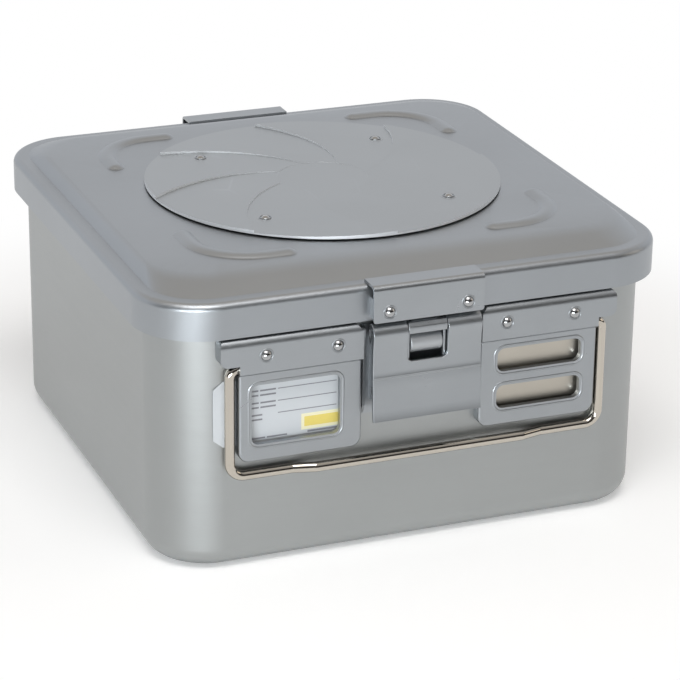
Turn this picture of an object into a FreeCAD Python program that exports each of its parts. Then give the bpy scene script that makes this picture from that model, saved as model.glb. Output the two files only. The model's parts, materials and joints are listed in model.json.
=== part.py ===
import FreeCAD, Part
import math
import os
from FreeCAD import Vector

# Sterilization container of half size, in millimetres.
# Origin at the middle of the bottom, +Z up, the side with the label card faces -Y.
# "d" is the distance outward from the front wall of the pan, "u" the distance from the
# middle plane to the side. The rear fittings are the front ones turned half round Z.

# Body pan
BODY_W = 285.0
BODY_D = 282.0
BODY_R = 34.5
BODY_WALL = 2.0
BOTTOM_FILLET = 12.0
BODY_TOP = 151.0
BEAD_OUT = 4.8
BEAD_H = 5.0
BEAD_R = 2.2

# Lid
LID_OVERHANG = 7.0
LID_WALL = 1.5
SKIRT_BOTTOM = 135.0
LID_RIM_TOP = 155.0
LID_EDGE_R = 4.0
RIM_FLAT = 9.0
PLATEAU_RISE = 6.5
SLOPE_SIDE = 5.0
SLOPE_END = 16.0
SLOPE_LEVELS = ((0.0, 0.0), (0.72, 0.72), (1.0, 1.25))
GASKET_GAP = 0.2
GASKET_OUT = 2.8
GASKET_IN = 1.5

# Stacking ribs on the lid
RIB_HALF = 104.0
RIB_R = 32.0
RIB_ARM = 12.0
RIB_W = 11.0
RIB_ROOT = 0.3
RIB_H = 2.0

# Filter cover and filter
COVER_R = 101.0
COVER_T = 0.9
COVER_LIFT = 1.0
VANES = 8
VANE_STEP = 1.5
VANE_START = 0.1
VANE_TURN = 52.0
VANE_POINTS = 6
HUB_R = 27.0
COVER_RIVET_R = 77.0
COVER_HEAD_R = 2.6
COVER_HEAD_H = 1.2
COVER_SEAT = 0.3
SPACER_R = 4.4
PERF_HOLE = 5.0
PERF_PITCH = 12.0
PERF_RINGS = 4
FILTER_R = 62.0
FILTER_T = 0.5
RETAINER_R = 66.0
RETAINER_T = 1.0
STUD_R = 3.0
KNOB_R = 9.0
KNOB_H = 5.0
KNOB_SPAN = 44.0
KNOB_EDGE = 1.0
STUD_FOOT_OUT = 1.5
STUD_FOOT_T = 1.2
STUD_PLAY = 0.1

# Latch
PIVOT_D = 8.5
PIVOT_Z = 128.0
HOOK_PIN_D = 7.5
HOOK_PIN_Z = 94.5
LEVER_HALF_W = 31.0
LEVER_T = 2.0
LEVER_TOP_R = 6.5
LEVER_BOTTOM = 80.0
LEVER_KICK = 1.2
LEVER_KNEE_Z = 86.0
LEVER_SWELL_Z = 97.5
LEVER_GROOVE_Z = 103.8
LEVER_STEP_Z = 104.6
LEVER_FLAT_Z = 107.5
LEVER_NECK = 6.2
NOTCH_HALF_W = 11.4
NOTCH_BOTTOM = 111.8
NOTCH_CORNER = 3.0
LUG_T = 1.8
LUG_OUT = 30.0
PIN_R = 1.6
PIN_FIT = 0.06
SIDE_GAP = 0.4
BARREL_D = 7.5
BARREL_Z = 120.3
BARREL_R = 5.5
BARREL_HALF_W = 9.2
BARREL_END_R = 3.2
BARREL_END_U = 11.1
STRAP_HALF_W = 7.2
STRAP_T = 1.5
HOOK_GAP = 0.3
HOOK_SEAT = 0.2
HOOK_ARM_IN = 9.6
HOOK_ARM_OUT = 11.0
HOOK_ARM_D = 12.0
HOOK_NOSE_FROM = 18.0
HOOK_NOSE_TO = 34.0
HOOK_HALF_W = 24.8
HOOK_T = 1.8
HOOK_SHOULDER = 107.5
NOSE_BOTTOM = 127.2
NOSE_MIDDLE = 129.4
NOSE_TOP = 131.4
HOOK_PAD_HALF_W = 18.0
BASE_HALF_W = 33.0
BASE_T = 1.5
BASE_FLANGE = 4.5
BASE_BOTTOM = 80.0
BASE_TOP = 131.0
BASE_RIVET_U = 18.0
BASE_RIVET_LOW = 86.5
BASE_RIVET_HIGH = 104.0
BASE_HEAD_T = 0.9

# Lid bracket and catch
BRACKET_HALF_W = 31.5
BRACKET_OUT = 15.0
BRACKET_T = 1.5
BRACKET_BOTTOM = 136.0
BRACKET_BACK = 1.0
BRACKET_BEND_R = 3.0
BRACKET_RIVET_U = 22.4
BRACKET_RIVET_Z = 141.6
BRACKET_TAIL = 0.4
CATCH_BOTTOM = 137.0
CATCH_TOP = 148.0
CATCH_HALF_W = 30.0

# Holders for card and tag
HOLDER_T = 1.5
BAND_OUT = 8.5
PANEL_OUT = 6.5
BAND_TOP = 134.4
BAND_ROLL = 5.0
BAND_CUT = 4.0
CREASE_TOP = 114.5
CREASE_BOTTOM = 113.0
PANEL_BOTTOM = 63.5
PANEL_IN = 34.0
PANEL_EDGE = 103.0
EAR_EDGE = 113.5
EAR_BOTTOM = 119.5
PANEL_CORNER = 6.0
HOLDER_FILLET = 1.4
ROLL_DEPTH = 1.6
ROLL_T = 1.2
CARD_WINDOW = (46.4, 95.9, 73.2, 107.0)
TAG_WINDOWS = ((44.3, 93.8, 94.9, 108.2), (44.3, 93.8, 73.4, 86.7))
WINDOW_R = 4.0
HOLDER_RIVETS_U = (48.4, 88.4)
HOLDER_RIVET_Z = 124.0
CARD_T = 0.35
CARD_EDGE = 115.2
CARD_BOTTOM = 71.6
CARD_TOP = 109.0
CARD_INNER = 37.0
CARD_CUT = 5.5
BACKING_T = 0.8
RAIL_IN = 42.0
RAIL_EDGE = 100.5
RAIL_TOP = 130.0

# Rivets
RIVET_R = 3.1
RIVET_H = 2.0
RIVET_SHANK = 1.6
TAIL_T = 0.8
TAIL_IN = 0.5
PIN_HEAD_T = 0.6
PIN_HEAD_OUT = 0.9

# Handle
WIRE_R = 2.8
WIRE_D = 3.4
HANDLE_U = 107.1
HANDLE_PIVOT_Z = 116.2
HANDLE_BOTTOM = 55.4
HANDLE_END = 93.0
HANDLE_BEND = 4.5
HANDLE_CORNER = 8.0
JOG_OUTER = 72.0
JOG_INNER = 60.0
JOG_OUT = 3.0
JOG_BEND = 6.0
BORE_FIT = 0.08
WIRE_CLEAR = 0.5

FRONT_Y = -BODY_D / 2
LID_W = BODY_W + 2 * LID_OVERHANG
LID_D = BODY_D + 2 * LID_OVERHANG
LID_R = BODY_R + LID_OVERHANG * 0.5
PLATEAU_TOP = LID_RIM_TOP + PLATEAU_RISE
LID_IN = LID_OVERHANG - LID_WALL
COVER_BOTTOM = PLATEAU_TOP + COVER_LIFT
Z_AXIS = Vector(0, 0, 1)


def at(x, d, z):
    """Point at the distance d outward from the front wall."""
    return Vector(x, FRONT_Y - d, z)


def box(x0, x1, d0, d1, z0, z1):
    return Part.makeBox(x1 - x0, d1 - d0, z1 - z0, at(x0, d1, z0))


def cylinder(radius, length, start, direction):
    return Part.makeCylinder(radius, length, start, direction)


def bar_x(radius, x0, x1, d, z):
    """Round bar along X between two x values."""
    return cylinder(radius, x1 - x0, at(x0, d, z), Vector(1, 0, 0))


def rounded_rect(width, depth, radius, z):
    """Closed wire of a rectangle with round corners, around the Z axis."""
    hx, hy = width / 2, depth / 2
    edges = []
    corners = ((hx, hy, 0), (-hx, hy, 90), (-hx, -hy, 180), (hx, -hy, 270))
    arcs = []
    for cx, cy, start in corners:
        mx = cx - math.copysign(radius, cx)
        my = cy - math.copysign(radius, cy)
        points = []
        for step in (0, 45, 90):
            angle = math.radians(start + step)
            points.append(Vector(mx + radius * math.cos(angle), my + radius * math.sin(angle), z))
        arcs.append(points)
    for i, points in enumerate(arcs):
        edges.append(Part.Arc(*points).toShape())
        edges.append(Part.LineSegment(points[2], arcs[(i + 1) % 4][0]).toShape())
    return Part.Wire(edges)


def prism(width, depth, radius, z0, z1):
    return Part.Face(rounded_rect(width, depth, radius, z0)).extrude(Vector(0, 0, z1 - z0))


def edges_at_z(shape, z):
    """Edges that lie wholly in one level plane."""
    found = []
    for edge in shape.Edges:
        box_ = edge.BoundBox
        if abs(box_.ZMin - z) < 0.01 and abs(box_.ZMax - z) < 0.01:
            found.append(edge)
    return found


def section(points, x0, x1):
    """Solid of a (d, z) outline between two x values. A point may be the middle of an arc,
    which is then written as ("arc", d, z)."""
    edges = []
    here = points[0]
    rest = list(points[1:]) + [points[0]]
    i = 0
    while i < len(rest):
        point = rest[i]
        if point[0] == "arc":
            end = rest[i + 1]
            edges.append(Part.Arc(at(x0, *here), at(x0, *point[1:]), at(x0, *end)).toShape())
            here = end
            i += 2
        else:
            edges.append(Part.LineSegment(at(x0, *here), at(x0, *point)).toShape())
            here = point
            i += 1
    return Part.Face(Part.Wire(edges)).extrude(Vector(x1 - x0, 0, 0))


def polar(cd, cz, radius, degrees):
    """Point of a circle in the (d, z) plane, 0 degrees outward and 90 up."""
    angle = math.radians(degrees)
    return (cd + radius * math.cos(angle), cz + radius * math.sin(angle))


def slab(u0, u1, z0, z1, radius, d0, d1):
    """Plate parallel to the front wall with round corners."""
    plate = box(u0, u1, d0, d1, z0, z1)
    upright = [e for e in plate.Edges if e.BoundBox.YLength > 0.9 * (d1 - d0)]
    return plate.makeFillet(radius, upright)


def rivet(x, d, z, length):
    """Dome-headed rivet that stands on the surface at d, with its shank going inward."""
    foot = at(x, d, z)
    ball = (RIVET_R ** 2 + RIVET_H ** 2) / (2 * RIVET_H)
    dome = Part.makeSphere(ball, at(x, d + RIVET_H - ball, z))
    head = dome.common(cylinder(RIVET_R, RIVET_H + 1, foot, Vector(0, -1, 0)))
    shank = cylinder(RIVET_SHANK, length, foot, Vector(0, 1, 0))
    return head.fuse(shank).removeSplitter()


def rivet_hole(x, d0, d1, z, radius=RIVET_SHANK):
    return cylinder(radius, d1 - d0, at(x, d1, z), Vector(0, 1, 0))


def mirrored(shape):
    return shape.mirror(Vector(0, 0, 0), Vector(1, 0, 0))


def turned(shape):
    """The same piece on the rear side."""
    copy = shape.copy()
    copy.rotate(Vector(0, 0, 0), Z_AXIS, 180)
    return copy


# Body pan

def body_pan():
    outer = prism(BODY_W, BODY_D, BODY_R, 0, BODY_TOP)
    outer = outer.makeFillet(BOTTOM_FILLET, edges_at_z(outer, 0))
    bead_w = BODY_W + 2 * BEAD_OUT
    bead = prism(bead_w, BODY_D + 2 * BEAD_OUT, BODY_R + BEAD_OUT, BODY_TOP - BEAD_H, BODY_TOP)
    bead = bead.makeFillet(BEAD_R, edges_at_z(bead, BODY_TOP) + edges_at_z(bead, BODY_TOP - BEAD_H))
    inner = prism(BODY_W - 2 * BODY_WALL, BODY_D - 2 * BODY_WALL, BODY_R - BODY_WALL,
                  BODY_WALL, BODY_TOP + 1)
    inner = inner.makeFillet(BOTTOM_FILLET - BODY_WALL, edges_at_z(inner, BODY_WALL))
    pan = outer.fuse(bead).cut(inner)
    holes = holder_rivet_holes(-BODY_WALL - 1, 1) + base_rivet_holes(-BODY_WALL - 1, 1)
    return pan.cut(holes + [turned(h) for h in holes]).removeSplitter()


def holder_rivet_holes(d0, d1):
    return [rivet_hole(side * u, d0, d1, HOLDER_RIVET_Z)
            for side in (-1, 1) for u in HOLDER_RIVETS_U]


BASE_RIVETS = [(side * BASE_RIVET_U, z) for side in (-1, 1) for z in (BASE_RIVET_LOW, BASE_RIVET_HIGH)]


def base_rivet_holes(d0, d1):
    return [rivet_hole(x, d0, d1, z) for x, z in BASE_RIVETS]


# Lid and what rides on it

def plateau(inset, rim_top):
    """Raised middle of the lid, between three rounded rectangles. The edge is softened
    by the middle one."""
    width = LID_W - 2 * RIM_FLAT
    depth = LID_D - 2 * RIM_FLAT
    wires = []
    for rise, run in SLOPE_LEVELS:
        z = rim_top + PLATEAU_RISE * rise
        w = width - 2 * SLOPE_SIDE * run - 2 * inset
        d = depth - 2 * SLOPE_END * run - 2 * inset
        wires.append(rounded_rect(w, d, LID_R - RIM_FLAT + 2 * rise, z))
    return Part.makeLoft(wires, True, True)


def stacking_rib(sx, sy):
    """Low round-backed rib round one corner of the plateau, with ball-shaped ends."""
    ball = (RIB_W ** 2 / 4 + RIB_H ** 2) / (2 * RIB_H)
    z = PLATEAU_TOP + RIB_H - ball
    middle = RIB_HALF - RIB_R
    start = middle - RIB_ARM
    bend = Part.makeTorus(RIB_R, ball, Vector(middle, middle, z), Z_AXIS, 0, 360, 90)
    arms = [cylinder(ball, RIB_ARM, Vector(start, RIB_HALF, z), Vector(1, 0, 0)),
            cylinder(ball, RIB_ARM, Vector(RIB_HALF, start, z), Vector(0, 1, 0)),
            Part.makeSphere(ball, Vector(start, RIB_HALF, z)),
            Part.makeSphere(ball, Vector(RIB_HALF, start, z))]
    size = RIB_HALF - start + 2 * RIB_W
    above = Part.makeBox(size, size, ball, Vector(start - RIB_W, start - RIB_W, PLATEAU_TOP - RIB_ROOT))
    piece = bend.fuse(arms).removeSplitter().common(above)
    if sx < 0:
        piece = piece.mirror(Vector(0, 0, 0), Vector(1, 0, 0))
    if sy < 0:
        piece = piece.mirror(Vector(0, 0, 0), Vector(0, 1, 0))
    return piece


def ring_points():
    """Centres of the perforations, in rings round the stud."""
    points = []
    for ring in range(1, PERF_RINGS + 1):
        count = 6 * ring
        for i in range(count):
            angle = 2 * math.pi * i / count
            points.append((ring * PERF_PITCH * math.cos(angle), ring * PERF_PITCH * math.sin(angle)))
    return points


def perforations(z0, z1, radius):
    return [cylinder(radius, z1 - z0, Vector(x, y, z0), Z_AXIS) for x, y in ring_points()]


def cover_rivet_points():
    return [(COVER_RIVET_R * math.cos(math.radians(45 + 90 * i)),
             COVER_RIVET_R * math.sin(math.radians(45 + 90 * i))) for i in range(4)]


def lid_shell():
    outer = prism(LID_W, LID_D, LID_R, SKIRT_BOTTOM, LID_RIM_TOP)
    outer = outer.makeFillet(LID_EDGE_R, edges_at_z(outer, LID_RIM_TOP))
    outer = outer.fuse(plateau(0, LID_RIM_TOP))
    roof = LID_RIM_TOP - LID_WALL
    inner = prism(LID_W - 2 * LID_WALL, LID_D - 2 * LID_WALL, LID_R - LID_WALL, SKIRT_BOTTOM - 1, roof)
    inner = inner.makeFillet(LID_EDGE_R - LID_WALL, edges_at_z(inner, roof))
    inner = inner.fuse(plateau(LID_WALL, roof))
    shell = outer.fuse([stacking_rib(sx, sy) for sx in (-1, 1) for sy in (-1, 1)]).cut(inner)
    holes = perforations(PLATEAU_TOP - LID_WALL - 1, PLATEAU_TOP + 1, PERF_HOLE / 2)
    holes += [cylinder(RIVET_SHANK, 6, Vector(x, y, PLATEAU_TOP - 4), Z_AXIS)
              for x, y in cover_rivet_points()]
    holes.append(cylinder(STUD_R, 6, Vector(0, 0, PLATEAU_TOP - 4), Z_AXIS))
    for side in (-1, 1):
        hole = rivet_hole(side * BRACKET_RIVET_U, 0, LID_OVERHANG + 1, BRACKET_RIVET_Z)
        holes += [hole, turned(hole)]
    return shell.cut(holes).removeSplitter()


def lid_gasket():
    z0, z1 = BODY_TOP + GASKET_GAP, LID_RIM_TOP - LID_WALL
    outer = prism(BODY_W + 2 * GASKET_OUT, BODY_D + 2 * GASKET_OUT, BODY_R + GASKET_OUT - 1, z0, z1)
    inner = prism(BODY_W - 2 * GASKET_IN, BODY_D - 2 * GASKET_IN, BODY_R - GASKET_IN, z0 - 1, z1 + 1)
    return outer.cut(inner)


def vane_curve(turn, z, start, rise):
    """Spline of one swirl line from the hub to beyond the edge of the cover, climbing outward."""
    points = []
    reach = COVER_R / math.cos(math.pi / VANES) + 8
    for i in range(VANE_POINTS):
        share = i / (VANE_POINTS - 1)
        r = HUB_R - 6 + share * (reach - HUB_R)
        angle = math.radians(turn + VANE_TURN * share ** 0.75)
        points.append(Vector(r * math.cos(angle), r * math.sin(angle), z + start + (rise - start) * share))
    curve = Part.BSplineCurve()
    curve.interpolate(points)
    return curve.toShape()


def filter_cover():
    """Disc of eight sloping vanes round a level hub. Each rises along its width and ends in
    a step that grows toward the edge of the disc."""
    z0 = COVER_BOTTOM
    low = z0 + COVER_T
    pitch = 360 / VANES
    a_low, b_high = vane_curve(0, low, 0, 0), vane_curve(pitch, low, VANE_START, VANE_STEP)
    a_bot, b_bot = vane_curve(0, z0, 0, 0), vane_curve(pitch, z0, 0, 0)
    faces = [Part.makeRuledSurface(a_low, b_high), Part.makeRuledSurface(a_bot, b_bot),
             Part.makeRuledSurface(a_bot, a_low), Part.makeRuledSurface(b_bot, b_high)]
    for end in (0, 1):
        corners = [e.Vertexes[end].Point for e in (a_bot, a_low, b_high, b_bot)]
        faces.append(Part.Face(Part.makePolygon(corners + [corners[0]])))
    vane = Part.Solid(Part.makeShell(faces))
    if vane.Volume < 0:
        vane.reverse()
    rim = cylinder(COVER_R, VANE_STEP + 4, Vector(0, 0, z0 - 1), Z_AXIS)
    hub_hole = cylinder(HUB_R - 1, VANE_STEP + 4, Vector(0, 0, z0 - 1), Z_AXIS)
    vane = vane.common(rim).cut(hub_hole)
    vanes = []
    for i in range(VANES):
        copy = vane.copy()
        copy.rotate(Vector(0, 0, 0), Z_AXIS, i * pitch)
        vanes.append(copy)
    hub = cylinder(HUB_R, COVER_T, Vector(0, 0, z0), Z_AXIS)
    disc = hub.fuse(vanes)
    holes = [cylinder(RIVET_SHANK, 8, Vector(x, y, z0 - 2), Z_AXIS) for x, y in cover_rivet_points()]
    pads = [cylinder(SPACER_R, COVER_T + COVER_SEAT, Vector(x, y, z0), Z_AXIS)
            for x, y in cover_rivet_points()]
    return disc.fuse(pads).cut(holes).removeSplitter()


def cover_spacers():
    solids = []
    for x, y in cover_rivet_points():
        outer = cylinder(SPACER_R, COVER_LIFT, Vector(x, y, PLATEAU_TOP), Z_AXIS)
        solids.append(outer.cut(cylinder(RIVET_SHANK, COVER_LIFT, Vector(x, y, PLATEAU_TOP), Z_AXIS)))
    return Part.makeCompound(solids)


def cover_rivets():
    solids = []
    seat = COVER_BOTTOM + COVER_T + COVER_SEAT
    ball = (COVER_HEAD_R ** 2 + COVER_HEAD_H ** 2) / (2 * COVER_HEAD_H)
    foot = PLATEAU_TOP - LID_WALL - TAIL_T
    for x, y in cover_rivet_points():
        dome = Part.makeSphere(ball, Vector(x, y, seat + COVER_HEAD_H - ball))
        head = dome.common(cylinder(COVER_HEAD_R, COVER_HEAD_H + 1, Vector(x, y, seat), Z_AXIS))
        shank = cylinder(RIVET_SHANK, seat - foot, Vector(x, y, foot), Z_AXIS)
        tail = cylinder(RIVET_R - TAIL_IN, TAIL_T, Vector(x, y, foot), Z_AXIS)
        solids.append(head.fuse([shank, tail]).removeSplitter())
    return Part.makeCompound(solids)


FILTER_TOP = PLATEAU_TOP - LID_WALL
RETAINER_TOP = FILTER_TOP - FILTER_T
KNOB_TOP = RETAINER_TOP - RETAINER_T - STUD_PLAY
KNOB_BOTTOM = KNOB_TOP - KNOB_H


def filter_sheet():
    disc = cylinder(FILTER_R, FILTER_T, Vector(0, 0, RETAINER_TOP), Z_AXIS)
    return disc.cut(cylinder(STUD_R, FILTER_T, Vector(0, 0, RETAINER_TOP), Z_AXIS))


def filter_retainer():
    z0 = RETAINER_TOP - RETAINER_T
    plate = cylinder(RETAINER_R, RETAINER_T, Vector(0, 0, z0), Z_AXIS)
    lip = cylinder(RETAINER_R, FILTER_T, Vector(0, 0, RETAINER_TOP), Z_AXIS)
    lip = lip.cut(cylinder(FILTER_R + 1, FILTER_T, Vector(0, 0, RETAINER_TOP), Z_AXIS))
    holes = perforations(z0 - 1, RETAINER_TOP + 1, PERF_HOLE / 2)
    holes.append(cylinder(STUD_R, 5, Vector(0, 0, z0 - 2), Z_AXIS))
    return plate.fuse(lip).cut(holes).removeSplitter()


def filter_stud():
    """Post under the lid. Its foot keeps the knob from falling off."""
    post = cylinder(STUD_R, PLATEAU_TOP - KNOB_BOTTOM, Vector(0, 0, KNOB_BOTTOM), Z_AXIS)
    foot_z = KNOB_BOTTOM - STUD_PLAY - STUD_FOOT_T
    foot = cylinder(STUD_R + STUD_FOOT_OUT, STUD_FOOT_T, Vector(0, 0, foot_z), Z_AXIS)
    neck = cylinder(STUD_R, STUD_PLAY, Vector(0, 0, KNOB_BOTTOM - STUD_PLAY), Z_AXIS)
    return post.fuse([foot, neck]).removeSplitter()


def filter_knob():
    """Hub with two round-ended wings, turned by hand to lock the retainer."""
    wings = Part.makeBox(KNOB_SPAN, KNOB_R, KNOB_H, Vector(-KNOB_SPAN / 2, -KNOB_R / 2, KNOB_BOTTOM))
    upright = [e for e in wings.Edges if e.BoundBox.ZLength > KNOB_H * 0.9]
    wings = wings.makeFillet(KNOB_R * 0.45, upright)
    hub = cylinder(KNOB_R, KNOB_H, Vector(0, 0, KNOB_BOTTOM), Z_AXIS)
    knob = hub.fuse(wings).removeSplitter()
    knob = knob.makeFillet(KNOB_EDGE, edges_at_z(knob, KNOB_BOTTOM))
    return knob.cut(cylinder(STUD_R + BORE_FIT, KNOB_H + 2, Vector(0, 0, KNOB_BOTTOM - 1), Z_AXIS))


# Lid bracket and catch

def lid_bracket():
    top = LID_RIM_TOP + BRACKET_T
    r = BRACKET_BEND_R
    ri = r - BRACKET_T
    o = BRACKET_OUT
    back = -BRACKET_BACK
    outline = [(-back, LID_RIM_TOP), (-back, top), (o - r, top),
               ("arc",) + polar(o - r, top - r, r, 45), (o, top - r), (o, BRACKET_BOTTOM),
               (o - BRACKET_T, BRACKET_BOTTOM), (o - BRACKET_T, top - r),
               ("arc",) + polar(o - r, top - r, ri, 45), (o - r, LID_RIM_TOP)]
    sheet = section(outline, -BRACKET_HALF_W, BRACKET_HALF_W)
    corners = [e for e in sheet.Edges if e.BoundBox.ZMax < BRACKET_BOTTOM + 0.01
               and e.BoundBox.XLength < 0.01 and e.BoundBox.YLength > BRACKET_T * 0.9]
    sheet = sheet.makeFillet(1.5, corners)
    holes = [rivet_hole(s * BRACKET_RIVET_U, o - 3, o + 1, BRACKET_RIVET_Z) for s in (-1, 1)]
    return sheet.cut(holes)


def bracket_rivets():
    length = BRACKET_OUT - LID_IN + BRACKET_TAIL
    solids = []
    for s in (-1, 1):
        x = s * BRACKET_RIVET_U
        tail = cylinder(RIVET_R - TAIL_IN, BRACKET_TAIL, at(x, LID_IN, BRACKET_RIVET_Z), Vector(0, 1, 0))
        solids.append(rivet(x, BRACKET_OUT, BRACKET_RIVET_Z, length).fuse(tail).removeSplitter())
    return Part.makeCompound(solids)


def lid_catch():
    """Block between skirt and bracket with a strap that ends in a rolled barrel. The hook
    grips the two narrow ends of the barrel."""
    d0, d1 = LID_OVERHANG, BRACKET_OUT - BRACKET_T
    block = box(-CATCH_HALF_W, CATCH_HALF_W, d0, d1, CATCH_BOTTOM, CATCH_TOP)
    strap = box(-STRAP_HALF_W, STRAP_HALF_W, d0 + 0.05, d0 + 0.05 + STRAP_T, BARREL_Z, CATCH_BOTTOM + 1)
    ends = bar_x(BARREL_END_R, -BARREL_END_U, BARREL_END_U, BARREL_D, BARREL_Z)
    barrel = bar_x(BARREL_R, -BARREL_HALF_W, BARREL_HALF_W, BARREL_D, BARREL_Z)
    rounds = [e for e in barrel.Edges if e.BoundBox.XLength < 0.01]
    barrel = barrel.makeFillet(0.8, rounds)
    catch = block.fuse([strap, barrel, ends])
    holes = [rivet_hole(s * BRACKET_RIVET_U, d0 - 1, d1 + 1, BRACKET_RIVET_Z) for s in (-1, 1)]
    return catch.cut(holes).removeSplitter()


# Latch on the wall

def base_ears():
    """Two ears that carry the lever at their top and the hook at their foot. They keep
    inside the path of the lever's rolled top edge."""
    u1 = LUG_OUT - LUG_T - SIDE_GAP
    u0 = u1 - LUG_T
    r = LEVER_TOP_R - LEVER_T - 0.3
    c = (PIVOT_D, PIVOT_Z)
    e = (HOOK_PIN_D, HOOK_PIN_Z)
    foot = PIN_R + 2.2
    ear = [(BASE_T - 1, HOOK_PIN_Z - 7), (BASE_T - 1, PIVOT_Z - 11), (BASE_T, PIVOT_Z - 10),
           polar(*c, r, 205),
           ("arc",) + polar(*c, r, 90), polar(*c, r, -30), (PIVOT_D - 1, PIVOT_Z - 12),
           (HOOK_PIN_D - 1, HOOK_PIN_Z + 8), polar(*e, foot, 30),
           ("arc",) + polar(*e, foot, -20), polar(*e, foot, -70), (BASE_T + 0.5, HOOK_PIN_Z - 7)]
    return [section(ear, x0, x0 + LUG_T) for x0 in (u0, -u1)]


def latch_base():
    plate = slab(-BASE_HALF_W, BASE_HALF_W, BASE_BOTTOM, BASE_TOP, 1.5, 0, BASE_T)
    flange = [(0, BASE_BOTTOM), (BASE_T, BASE_BOTTOM + 0.5), (BASE_FLANGE, BASE_BOTTOM + 6),
              (BASE_FLANGE, BASE_TOP - 2), (BASE_FLANGE - 2, BASE_TOP), (0, BASE_TOP)]
    parts = base_ears()
    for x0 in (-BASE_HALF_W, BASE_HALF_W - BASE_T):
        parts.append(section(flange, x0, x0 + BASE_T))
    base = plate.fuse(parts)
    holes = base_rivet_holes(-1, BASE_T + 1)
    holes.append(bar_x(PIN_R + PIN_FIT, -LUG_OUT, LUG_OUT, PIVOT_D, PIVOT_Z))
    holes.append(bar_x(PIN_R, -LUG_OUT, LUG_OUT, HOOK_PIN_D, HOOK_PIN_Z))
    return base.cut(holes).removeSplitter()


def base_rivets():
    """Flat heads in front of the base plate, closed inside the wall."""
    solids = []
    for x, z in BASE_RIVETS:
        shank = rivet_hole(x, -BODY_WALL - TAIL_T, BASE_T + BASE_HEAD_T, z)
        head = cylinder(RIVET_R, BASE_HEAD_T, at(x, BASE_T + BASE_HEAD_T, z), Vector(0, 1, 0))
        tail = cylinder(RIVET_R - TAIL_IN, TAIL_T, at(x, -BODY_WALL, z), Vector(0, 1, 0))
        solids.append(shank.fuse([head, tail]).removeSplitter())
    return Part.makeCompound(solids)


LEVER_OUT = PIVOT_D + LEVER_TOP_R


def lever_face():
    """Outline of the lever plate: a bulge round the pivot, two shallow grooves, a kicked foot."""
    o, t = LEVER_OUT, LEVER_T
    c = (PIVOT_D, PIVOT_Z)
    front = [polar(*c, LEVER_TOP_R, 78), ("arc",) + polar(*c, LEVER_TOP_R, 38), polar(*c, LEVER_TOP_R, -2),
             (o - 0.9, PIVOT_Z - LEVER_NECK), (o - 1.0, LEVER_FLAT_Z), (o - 0.3, LEVER_STEP_Z),
             (o - 0.9, LEVER_GROOVE_Z), (o - 0.1, LEVER_SWELL_Z), (o - 0.1, LEVER_KNEE_Z),
             (o + LEVER_KICK, LEVER_BOTTOM)]
    back = [(o + LEVER_KICK - t, LEVER_BOTTOM), (o - t, LEVER_KNEE_Z + 0.6), (o - t, LEVER_SWELL_Z),
            (o - 1.0 - t, LEVER_GROOVE_Z - 0.2), (o - 1.0 - t, PIVOT_Z - LEVER_NECK - 0.4),
            polar(*c, LEVER_TOP_R - t, -8),
            ("arc",) + polar(*c, LEVER_TOP_R - t, 35), polar(*c, LEVER_TOP_R - t, 78)]
    return front + back


def latch_lever():
    plate = section(lever_face(), -LEVER_HALF_W, LEVER_HALF_W)
    notch = slab(-NOTCH_HALF_W, NOTCH_HALF_W, NOTCH_BOTTOM, PIVOT_Z + 30, NOTCH_CORNER, 0, 30)
    inner = LEVER_OUT - LEVER_T
    lug = [polar(PIVOT_D, PIVOT_Z, 5.5, 50), ("arc",) + polar(PIVOT_D, PIVOT_Z, 5.0, 120),
           polar(PIVOT_D, PIVOT_Z, 4.6, 190), ("arc",) + polar(PIVOT_D, PIVOT_Z, 4.6, 235),
           polar(PIVOT_D, PIVOT_Z, 4.8, 270), (inner - 3.0, PIVOT_Z - 14),
           (inner - 1.4, LEVER_SWELL_Z - 2.5), (inner + 0.4, LEVER_SWELL_Z - 5.5),
           (inner + 0.4, LEVER_SWELL_Z - 0.5), (inner - 0.6, LEVER_GROOVE_Z - 0.2),
           (inner - 0.6, PIVOT_Z - LEVER_NECK - 0.4), (inner + 0.8, PIVOT_Z - 1)]
    lugs = [section(lug, x0, x0 + LUG_T) for x0 in (LUG_OUT - LUG_T, -LUG_OUT)]
    lever = plate.cut(notch).fuse(lugs)
    bore = bar_x(PIN_R, -LEVER_HALF_W - 1, LEVER_HALF_W + 1, PIVOT_D, PIVOT_Z)
    return lever.cut(bore).removeSplitter()


def lever_pins():
    """Two short pivots, one on each side of the notch, fixed in the lever's lugs."""
    inner = LUG_OUT - 2 * LUG_T - SIDE_GAP - 0.4
    outer = LUG_OUT + PIN_HEAD_T
    pins = [bar_x(PIN_R, inner, outer, PIVOT_D, PIVOT_Z), bar_x(PIN_R, -outer, -inner, PIVOT_D, PIVOT_Z)]
    heads = [bar_x(PIN_R + PIN_HEAD_OUT, x, x + PIN_HEAD_T, PIVOT_D, PIVOT_Z) for x in (LUG_OUT, -outer)]
    return Part.makeCompound([p.fuse(h).removeSplitter() for p, h in zip(pins, heads)])


def hook_pin():
    """Pin fixed in the ears of the base, on which the hook turns."""
    outer = LUG_OUT - LUG_T - SIDE_GAP
    pin = bar_x(PIN_R, -outer, outer, HOOK_PIN_D, HOOK_PIN_Z)
    heads = [bar_x(PIN_R + PIN_HEAD_OUT, x, x + PIN_HEAD_T, HOOK_PIN_D, HOOK_PIN_Z)
             for x in (outer, -outer - PIN_HEAD_T)]
    return pin.fuse(heads).removeSplitter()


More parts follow.
